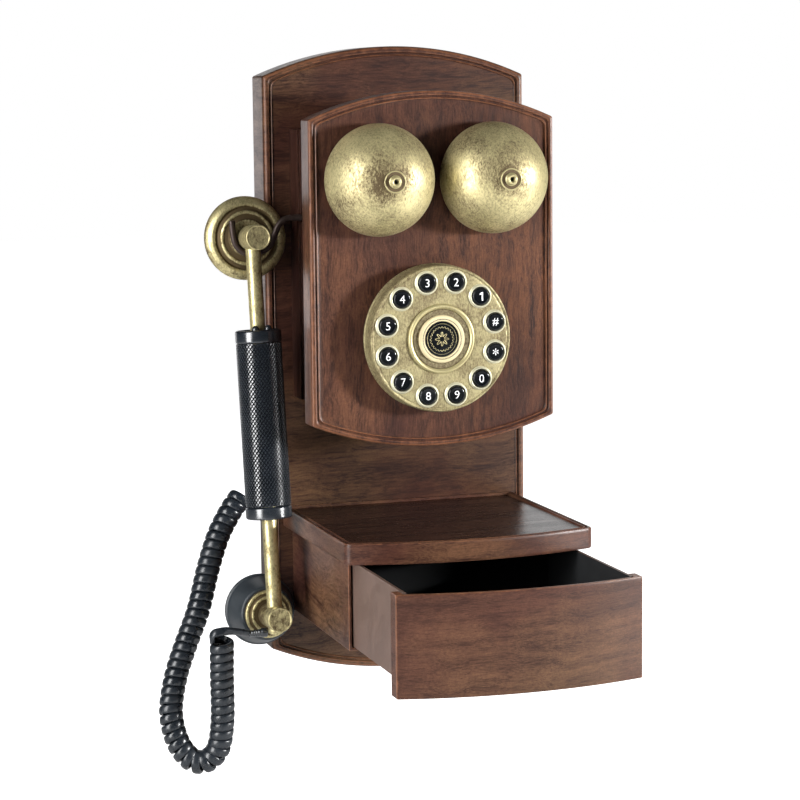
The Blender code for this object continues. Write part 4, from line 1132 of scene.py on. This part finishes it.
class PHONE_OT_keypad(bpy.types.Operator):
    """Adds the round keypad's face, its keys with digits and its centre"""
    bl_idname = "phone.keypad"
    bl_label = "Keypad"

    def execute(self, context):
        sizes = context.scene.telephone_keypad
        low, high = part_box("dial_face")
        self.centre = np.array(((low.x + high.x) / 2, high.y, (low.z + high.z) / 2))
        self.radius = (high.x - low.x) / 2 / MM
        self.rise = (high.y - low.y) / MM - COLLAR_HEIGHT
        self.add_face(sizes)
        for index, key in enumerate(KEYS):
            self.add_key(sizes, index, key)
        self.add_middle()
        return {"FINISHED"}

    def key_place(self, sizes, index):
        angle = radians(FIRST_KEY + KEY_STEP * index)
        return self.centre + sizes.key_ring * np.array((cos(angle), 0, sin(angle)))

    def add_face(self, sizes):
        """The face is a shallow cup; its holes are cut, and a turned collar stands round each."""
        top, out = self.rise, self.radius
        middle_line = [(0, 0), (16, 0), (16.4, -0.2), (18.8, -0.2), (19.2, 0)]
        rim = [(out - 2.6, 0), (out - 2.1, -0.3), (out - 1.7, -0.2), (out - 1.2, 0.25), (out - 0.5, 0.15),
               (out, -0.9)]
        foot = [(out - 0.1, 1.6), (out + 0.3, 1.2), (out + 0.3, 0), (out - 2, 0), (out - 2, top - 2),
                (0, top - 2)]
        cup = eased(raised(middle_line + rim, top) + foot, 0.35)
        face = turned_piece("dial_plate", cup, self.centre, "dial_brass", "wall_unit", "brass",
                            ["dial_face"], sides=160)
        hole = sizes.hole_radius / MM
        carve(face, [rod_shape(self.key_place(sizes, i), hole, top - 5, top + 3, sides=48)
                     for i in range(len(KEYS))])
        wide = sizes.collar / MM
        collar = eased_ring([(hole, -0.1), (hole, 0.8), (hole + 0.3, 1.2), (hole + 0.75, 1.15),
                             (wide - 0.1, 0.45), (wide + 0.35, 0.05), (wide + 0.35, -0.1)], top, 0.3)
        for index, key in enumerate(KEYS):
            turned_piece("key_collar_" + key, collar, self.key_place(sizes, index), "collar_brass",
                         "wall_unit", "brass", sides=48, ring=True, sharp=50.0)

    def add_key(self, sizes, index, key):
        """A round cap with a soft edge on a stem with a flange, and its digit on top."""
        node, place = "button_" + key, self.key_place(sizes, index)
        low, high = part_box(node)
        back = (self.centre[1] - high.y) / MM
        cap, wide = (self.centre[1] - low.y) / MM, sizes.key_radius / MM
        flange = self.rise - 2.4
        profile = [(0, cap - 0.12), (wide - 1.6, cap - 0.1), (wide - 0.45, cap), (wide, cap - 0.6),
                   (wide, flange), (wide + 1, flange), (wide + 1, flange - 1), (wide - 1.5, flange - 1),
                   (wide - 1.5, back), (0, back)]
        turned_piece("key_cap_" + key, eased(profile, 0.3), place, "key_black", "key_" + key, "black_gloss",
                     [node], sides=48)
        top = place[1] - cap * MM + 0.11 * MM
        self.add_digit(sizes, key, np.array((place[0], top, place[2])))

    def add_digit(self, sizes, key, place):
        """A digit as a thin raised shape, centred on its cap."""
        if key == "1":
            self.add_one(sizes, place)
            return
        words = bpy.data.curves.new("digit", "FONT")
        words.body = SYMBOLS.get(key, key)
        words.size = sizes.digit * (1.35 if key == "star" else 1.0)
        words.offset = -0.03 * MM
        words.extrude = DIGIT_HALF
        words.resolution_u = 4
        holder = new_object("digit", words)
        bpy.context.view_layer.update()
        mesh = bpy.data.meshes.new_from_object(holder.evaluated_get(bpy.context.evaluated_depsgraph_get()))
        bpy.data.objects.remove(holder, do_unlink=True)
        points = np.zeros(len(mesh.vertices) * 3, np.float32)
        mesh.vertices.foreach_get("co", points)
        points = points.reshape(-1, 3)
        flat = points[:, :2] - (points[:, :2].min(0) + points[:, :2].max(0)) / 2
        turned = np.column_stack([place[0] + flat[:, 0], place[1] - points[:, 2], place[2] + flat[:, 1]])
        faces = [list(polygon.vertices) for polygon in mesh.polygons]
        digit = make_piece("digit_" + key, turned, faces, "white", "key_" + key, "cream", sharp=30.0)
        bm = bmesh.new()
        bm.from_mesh(digit.data)
        bmesh.ops.remove_doubles(bm, verts=bm.verts, dist=0.000001)
        bmesh.ops.recalc_face_normals(bm, faces=bm.faces)
        bm.to_mesh(digit.data)
        bm.free()

    def add_one(self, sizes, place):
        """The digit 1: an outline of an upright bar with a slanted flag, given thickness."""
        outline = np.array([(0.05, -0.36), (0.05, 0.20), (-0.14, 0.12), (-0.14, 0.22), (0.06, 0.36),
                            (0.17, 0.36), (0.17, -0.36)]) * sizes.digit
        count = len(outline)
        rows = [place + np.insert(outline, 1, y, axis=1) for y in (DIGIT_HALF, -DIGIT_HALF)]
        faces = grid_faces(2, count).tolist() + [list(range(count)), list(range(count, 2 * count))]
        make_piece("digit_1", rows, faces, "white", "key_1", "cream", sharp=30.0)

    def add_middle(self):
        """The raised ring, the pitted channel, the cream ring with its dots and the dark disc."""
        top = self.rise
        ring = eased_ring([(16.3, -0.3), (16.3, 0.5), (17.2, 1.3), (18.0, 1.5), (18.7, 1.1), (19.1, -0.3)],
                          top, 0.35)
        turned_piece("dial_ring", ring, self.centre, "bright_brass", "wall_unit", "brass",
                     ["dial_centre_ring"], sides=128, ring=True, sharp=50.0)
        channel = raised([(12.6, 0.02), (12.8, 0.3), (15.9, 0.3), (16.2, 0.02)], top)
        turned_piece("dial_channel", channel, self.centre, "channel_brass", "wall_unit", "brass", sides=128,
                     ring=True)
        cream = eased_ring([(9.75, 0.2), (9.75, 1.5), (10.0, 1.8), (10.5, 1.8), (10.7, 1.55), (11.0, 1.55),
                            (11.2, 1.85), (12.5, 1.8), (13.0, 1.2), (13.1, 0.2)], top, 0.25)
        turned_piece("medallion_rim", cream, self.centre, "cream", "wall_unit", "cream",
                     ["medallion_ring"], sides=128, ring=True, sharp=50.0)
        disc = raised([(0, 1.25), (9.5, 1.25), (9.7, 1.0), (9.7, 0.3), (0, 0.3)], top)
        turned_piece("medallion_face", eased(disc, 0.2), self.centre, "key_black", "wall_unit", "black_gloss",
                     ["medallion_disc"], sides=96)
        self.add_rosette(top + 1.3)

    def add_rosette(self, height):
        """A plain rosette: closed tubes whose distance from the middle swings with the cosine of a
        whole number of times the angle. A tube is half as thick as it is wide."""
        angle = np.linspace(0, 2 * pi, 361)[:-1]
        pieces, faces, start = [], [], 0
        for base, swing, petals, thick in ((2.6, 1.2, 8, 0.16), (6.4, 0.45, 24, 0.09), (8.3, 0.0, 1, 0.07)):
            radius = (base + swing * np.cos(petals * angle)) * MM
            line = self.centre + np.stack([radius * np.sin(angle), np.full_like(angle, -height * MM),
                                           radius * np.cos(angle)], axis=-1)
            along = unit(np.roll(line, -1, 0) - np.roll(line, 1, 0))
            across = np.cross(along, (0, -1.0, 0))
            tube = self.ring_tube(line, across, thick * MM, 0.5, 8)
            pieces.append(tube.reshape(-1, 3))
            faces += (grid_faces(*tube.shape[:2], wrap_rows=True) + start).tolist()
            start += len(pieces[-1])
        make_piece("medallion_rosette", np.vstack(pieces), faces, "bright_brass", "wall_unit", "brass",
                   sharp=60.0)
        self.add_dots(height + 0.3)

    def add_dots(self, height):
        """A ring of dark dots: a closed tube whose thickness swings with the cosine of the angle."""
        angle = np.linspace(0, 2 * pi, DOTS * 6 + 1)[:-1]
        thick = (0.16 + 0.12 * np.cos(DOTS * angle)) * MM
        out = np.stack([np.sin(angle), np.zeros_like(angle), np.cos(angle)], axis=-1)
        line = self.centre - (0, height * MM, 0) + 10.85 * MM * out
        tube = self.ring_tube(line, out, thick[:, None, None], 0.4, 6)
        make_piece("medallion_dots", *closed_grid(tube, wrap_rows=True), "black_matte", "wall_unit",
                   "black_matte", sharp=60.0)

    def ring_tube(self, line, across, thick, share, sides):
        """A tube about a line in the keypad's face: the cosine of an angle goes across the line, and
        its sine, times a share, goes out of the face."""
        turn = (np.arange(sides) * 2 * pi / sides)[None, :, None]
        out_of_face = np.array((0, -1.0, 0))
        return line[:, None] + thick * (np.cos(turn) * across[:, None] + share * np.sin(turn) * out_of_face)


# ---------------------------------------------------------------- hook

# Route of the hook's bar across and up, from its pivot to its tip
HOOK_MM = ((-50, 84.5), (-62, 84.6), (-69.5, 84.2), (-74, 81), (-76.6, 75.5), (-79.5, 69.5), (-84.2, 66.8),
           (-90.5, 65.7), (-95.2, 66.8), (-98.8, 71), (-100.1, 77), (-100.7, 83.8))
HOOK_RADIUS = 1.8 * MM


class PHONE_OT_hook(bpy.types.Operator):
    """Adds the hook lever with its eye"""
    bl_idname = "phone.hook"
    bl_label = "Hook"

    def execute(self, context):
        level = middle("hook_lever")[1]
        route = smooth_route([(x, level / MM, z) for x, z in HOOK_MM], 0.0006)
        grid = tube_grid(route, np.array((0, 1.0, 0)), HOOK_RADIUS, HOOK_RADIUS, 24)
        make_piece("hook_bar", *closed_grid(grid), "bronze", "hook", "bronze", ["hook_lever"], sharp=50.0)
        pivot = next(joint for joint in frame["joints"] if joint["name"] == "hook_hinge")["pos_m"]
        eye = eased_ring([(1.8, 3), (4.6, 3), (4.6, -3), (1.8, -3)], 0, 0.5)
        turned_piece("hook_eye", eye, np.array(pivot), "bronze", "hook", "bronze", sides=40, ring=True)
        return {"FINISHED"}


# ---------------------------------------------------------------- handset

# Along the rod, in millimetres above the middle of the upper head
UPPER_END_MIDDLE, HEAD_SPACING = -54.0, 210.0
KNURLS_TOP, KNURLS_BOTTOM, KNURL_PITCH = -57.8, -147.2, 2.7
KNURL_STEPS = 6                 # grid cells along each side of a diamond's box
GRIP_ENDS = {"top": -50.5, "bottom": -147.5}
END_LENGTH, GRIP_BORE = 7.0, 4.6
UPPER_COIN_OUT, LOWER_COIN_OUT = 14.0, 11.5


class PHONE_OT_handset(bpy.types.Operator):
    """Adds the handset: heads, rods, grip, ear cup and mouth horn"""
    bl_idname = "phone.handset"
    bl_label = "Handset"

    def execute(self, context):
        self.sizes = context.scene.telephone_handset
        top, bottom = middle("grip_collar_top"), middle("grip_collar_bottom")
        rod = unit(top - bottom)
        lean, tilt = asin(-rod[1]), atan2(rod[0], rod[2])
        wall = np.array((sin(tilt) * sin(lean), cos(lean), cos(tilt) * sin(lean)))
        side = np.cross(wall, rod)
        self.rod_axes = (side, wall, rod)
        self.cup_axes = (side, rod, wall)
        self.head = top - rod * UPPER_END_MIDDLE * MM
        self.foot = self.head - rod * HEAD_SPACING * MM
        self.add_heads()
        self.add_rods()
        self.add_grip()
        self.add_ear()
        self.add_mouth()
        return {"FINISHED"}

    def cross_piece(self, name, profile, look, slot, node, at, sides=64):
        """A solid turned about the line that runs towards the wall through a head."""
        return turned_piece(name, profile, at, look, "handset", slot, [node], self.cup_axes, sides)

    def rod_piece(self, name, profile, look, slot, node, ring=False):
        """A piece turned about the rod."""
        return turned_piece(name, profile, self.head, look, "handset", slot, [node], self.rod_axes, ring=ring)

    def add_heads(self):
        """Each head's flat front has a shallow dish. The neck behind the upper one rests in the hook."""
        r = self.sizes.coin / MM
        dish = [(0, 0.25, 0.2), (r - 1.1, 0.3, 0.2), (r - 0.8, 0, 0), (r - 0.3, 0, 0), (r, 0.5, 0)]
        upper = raised(dish, -UPPER_COIN_OUT) + [(r, 3.8, 0.1), (6.2, 4.2, 0.6), (6.2, 9.2, 1), (0, 9.2, 1)]
        lower = raised(dish, -LOWER_COIN_OUT) + [(r, 11.2, 0.6), (0, 11.2, 1)]
        self.cross_piece("upper_coin", eased(upper, 0.3), "coin_brass", "brass", "upper_head", self.head)
        self.cross_piece("lower_coin", eased(lower, 0.3), "coin_brass", "brass", "lower_head", self.foot)

    def add_rods(self):
        r = self.sizes.rod / MM
        upper = [(0, 0), (r, 0), (r, -64.5), (0, -64.5)]
        lower = [(0, -140.5), (r, -140.5), (r, -217.6), (r - 0.5, -218.9), (r - 0.9, -219.2), (0, -219.2)]
        self.rod_piece("upper_tube", eased(upper, 0.3), "rod_brass", "brass", "upper_rod")
        self.rod_piece("lower_tube", eased(lower, 0.3), "rod_brass", "brass", "lower_rod")

    def add_grip(self):
        """The grip's radius at an angle and a height is the full radius less a groove along two
        families of crossed helical lines. A groove is a sixth of their spacing wide on each side, so
        each diamond keeps a smooth top. Cells that a line crosses are split along that line."""
        full, depth = self.sizes.grip / MM, self.sizes.knurl / MM
        count, per, top, bottom = self.sizes.knurls, KNURL_STEPS, KNURLS_TOP, KNURLS_BOTTOM
        periods = round((top - bottom) / KNURL_PITCH)
        sides, rows = count * per, periods * per + 1
        column, row = np.meshgrid(np.arange(sides), np.arange(rows))
        height = top + (bottom - top) * row / (rows - 1)

        def away(steps):
            share = (steps / per) % 1
            return np.minimum(share, 1 - share)

        swell = np.minimum(per * np.minimum(away(column + row), away(column - row)), 1)
        ends = np.clip(np.minimum(top - height, height - bottom) / 0.5, 0, 1)
        radius = full - depth * (1 - swell) * ends - 0.15 * (1 - ends)
        theta = column / sides * 2 * pi
        side, wall, rod = self.rod_axes
        around = np.cos(theta)[..., None] * side + np.sin(theta)[..., None] * wall
        grid = self.head + MM * (radius[..., None] * around + height[..., None] * rod)
        caps = [turned_grid([(GRIP_BORE, h)], self.head, self.rod_axes, sides) for h in (top, bottom)]
        points = np.vstack([caps[0], grid, caps[1]]).reshape(-1, 3)
        ring_faces = grid_faces(rows + 2, sides, wrap_rows=True).reshape(rows + 2, sides, 4)
        a, b, c, d = np.moveaxis(ring_faces[1:rows], -1, 0)
        across = ((column + row + 1) % per == 0)[:-1, :, None]
        first = np.where(across, np.stack([a, b, d], -1), np.stack([a, b, c], -1))
        second = np.where(across, np.stack([b, c, d], -1), np.stack([a, c, d], -1))
        faces = np.vstack([first.reshape(-1, 3), second.reshape(-1, 3)]).tolist()
        faces += np.vstack([ring_faces[:1], ring_faces[rows:]]).reshape(-1, 4).tolist()
        make_piece("grip_sleeve", points, faces, "black_grip", "handset", "grip_black", ["grip"], sharp=48.0)
        r, low = self.sizes.collar / MM, -END_LENGTH
        for name, top in GRIP_ENDS.items():
            collar = eased_ring([(GRIP_BORE, 0), (r - 0.9, 0), (r, -0.8), (r, low + 0.8), (r - 0.5, low),
                                 (GRIP_BORE, low)], top, 0.35)
            self.rod_piece("grip_end_" + name, collar, "black_grip", "black_gloss", "grip_collar_" + name,
                           ring=True)
        self.add_nubs()

    def add_nubs(self):
        """Two small rounded screws on the grip's upper end: quarter ellipses turned about the rod's
        direction."""
        side, wall, rod = self.rod_axes
        t = np.linspace(0, pi / 2, 8)
        dome = np.stack([2.1 * np.cos(t), 2.6 * np.sin(t)], axis=-1)
        profile = np.vstack([[(0, -0.2), (2.1, -0.2)], dome[:-1], [(0, 2.6)]])
        for name, angle in (("left", 245), ("right", 315)):
            out = cos(radians(angle)) * side + sin(radians(angle)) * wall
            centre = self.head + (GRIP_ENDS["top"] * rod + 6.6 * out) * MM
            turned_piece("grip_screw_" + name, profile, centre, "black_gloss", "handset", "black_gloss", (),
                         self.rod_axes, 24, sharp=50.0)

    def add_ear(self):
        """The brass cup's stepped outside, with patina in its grooves, and the pierced black cap."""
        cup = [(0, 0, 0.3), (9.9, 0, 0.2), (10.2, 0.3, 0.5), (10.5, 1.4, 1), (13.0, 1.8, 0.9),
               (13.4, 1.5, 0.1), (14.2, 1.4, 0), (15.0, 1.9, 0.1), (15.6, 2.9, 1), (16.9, 3.6, 1),
               (17.4, 3.1, 0.7),
               (18.2, 2.6, 0.1), (19.4, 2.6, 0), (21.3, 3.7, 0), (22.8, 5.4, 0.1), (23.3, 7.0, 0.3),
               (23.0, 8.2, 0.6), (20.9, 8.2, 0.6), (20.2, 5.8, 1), (15.5, 4.8, 1), (0, 3.6, 1)]
        cap = [(0, 8.7), (20.4, 8.7), (21.4, 9.4), (21.1, 10.6), (20.2, 11.0), (17, 10.9), (14, 10.1),
               (0, 9.9)]
        cup, cap = (raised(profile, 9.5) for profile in (cup, cap))
        self.cross_piece("ear_bell", eased(cup, 0.45), "rod_brass", "brass", "ear_cup", self.head, 128)
        cover = self.cross_piece("ear_cover", eased(cap, 0.4), "black_gloss", "black_gloss", "ear_cap",
                                 self.head, 96)
        carve(cover, self.sound_holes(self.head, 3.2, 6.4, 18, 22))

    def sound_holes(self, at, inner, outer, start, end):
        """Cutters for a hole in the middle, a ring of six round it and a ring of twelve."""
        side, rod, _ = self.cup_axes
        places = [(0, 0)] + [(inner, 60 * i) for i in range(6)] + [(outer, 30 * i) for i in range(12)]
        return [rod_shape(at + radius * MM * (cos(radians(angle)) * side + sin(radians(angle)) * rod), 0.8,
                          start, end, self.cup_axes, 12) for radius, angle in places]

    def add_mouth(self):
        """The stepped brass hub, the black horn and, inside it, the pierced face of the microphone."""
        hub = raised([(0, 0, 0.5), (8.6, 0.3, 0.9), (9.0, 0, 0.1), (9.9, 0, 0), (10.4, 0.4, 0.1),
                      (10.7, 1.3, 1), (11.6, 1.5, 0.9), (12.2, 1.4, 0.1), (13.1, 1.6, 0), (13.5, 2.1, 0.1),
                      (13.6, 4.4, 1), (0, 4.4, 1)], 11.5)
        self.cross_piece("mouth_flange", eased(hub, 0.3), "rod_brass", "brass", "mouth_hub", self.foot, 96)
        horn = raised([(0, 0), (14.4, 0), (15.2, 0.6), (16.0, 3.5), (17.5, 9.5), (19.1, 16.4), (19.4, 17.0),
                       (20.2, 17.4), (20.2, 19.4), (19.6, 19.8), (18.4, 19.8), (17.6, 17.3), (15.4, 9),
                       (13.4, 3.4), (12.2, 2.4), (0, 2.4)], 16.2)
        self.cross_piece("mouth_bell", eased(horn, 0.5), "horn_black", "black_gloss", "mouth_horn", self.foot,
                         128)
        disc = [(0, 18.9), (8.8, 18.9), (9, 19.1), (9, 23.3), (8.6, 23.7), (0, 23.7)]
        capsule = self.cross_piece("mouth_capsule", eased(disc, 0.3), "steel", "steel", "microphone",
                                   self.foot)
        carve(capsule, self.sound_holes(self.foot, 2.8, 5.8, 22.6, 25))


# ---------------------------------------------------------------- what the frame shows as it is

PLAIN_NODES = {
    "steel": ("keyhole_hanger_left", "keyhole_hanger_right", "gong_post_left", "gong_post_right", "hook_pin"),
    "black_matte": ("hook_bracket", "hook_switch", "ringer", "ear_speaker", "handset_jack", "line_jack"),
    "green_board": ("main_board", "keypad_board"),
    "grey_rubber": ("keypad_mat",),
}


class PHONE_OT_fittings(bpy.types.Operator):
    """Gives the small fittings their finishes, and adds the ribbed sleeve at the handset's lead"""
    bl_idname = "phone.fittings"
    bl_label = "Fittings"

    def execute(self, context):
        for look, nodes in PLAIN_NODES.items():
            for node in nodes:
                materials = frame["nodes"][node].data.materials
                materials.clear()
                materials.append(finish(look))
        left, right = span("lead_relief", 0)
        start = middle("lead_relief") * (0, 1, 1) + (left, 0, 0)
        axes = (np.array((0, 1.0, 0)), np.array((0, 0, 1.0)), np.array((1.0, 0, 0)))
        reach = (right - left) / MM
        ribs = [(0, 0), (1.7, 0)]
        for i in range(5):
            ribs += [(1.9 + 0.1 * i, 0.5 + 1.3 * i), (1.5 + 0.1 * i, 1.1 + 1.3 * i)]
        ribs += [(2.6, 7.6), (2.6, reach - 0.4), (2.2, reach), (0, reach)]
        turned_piece("lead_sleeve", eased(ribs, 0.2), start, "black_gloss", "handset", "black_gloss",
                     ["lead_relief"], axes, 32)
        return {"FINISHED"}


# ---------------------------------------------------------------- panel and registration

OPERATORS = (PHONE_OT_stage, PHONE_OT_cord, PHONE_OT_boards, PHONE_OT_shelf, PHONE_OT_bells,
             PHONE_OT_keypad, PHONE_OT_hook, PHONE_OT_handset, PHONE_OT_fittings)
SETTINGS = {"telephone_stage": StageSettings, "telephone_boards": BoardSettings,
            "telephone_bells": BellSettings, "telephone_keypad": KeypadSettings,
            "telephone_handset": HandsetSettings, "telephone_cord": CordSettings,
            "telephone_finish": FinishSettings}


class PHONE_PT_panel(bpy.types.Panel):
    """Lists the pieces of the telephone"""
    bl_idname = "PHONE_PT_panel"
    bl_label = "Wall Telephone"
    bl_space_type = "VIEW_3D"
    bl_region_type = "UI"
    bl_category = "Telephone"

    def draw(self, context):
        for operator in OPERATORS:
            self.layout.operator(operator.bl_idname)
        for name, group in SETTINGS.items():
            column = self.layout.box().column(align=True)
            for key in group.__annotations__:
                column.prop(getattr(context.scene, name), key)


def register():
    for group in SETTINGS.values():
        bpy.utils.register_class(group)
    for name, group in SETTINGS.items():
        setattr(bpy.types.Scene, name, PointerProperty(type=group))
    for cls in (*OPERATORS, PHONE_PT_panel):
        bpy.utils.register_class(cls)


def unregister():
    for cls in (PHONE_PT_panel, *reversed(OPERATORS)):
        bpy.utils.unregister_class(cls)
    for name, group in SETTINGS.items():
        delattr(bpy.types.Scene, name)
        bpy.utils.unregister_class(group)


def main():
    register()
    bpy.ops.phone.stage()
    bpy.ops.phone.cord()
    bpy.ops.phone.boards()
    bpy.ops.phone.shelf()
    bpy.ops.phone.bells()
    bpy.ops.phone.keypad()
    bpy.ops.phone.hook()
    bpy.ops.phone.handset()
    bpy.ops.phone.fittings()


if __name__ == "__main__":
    main()
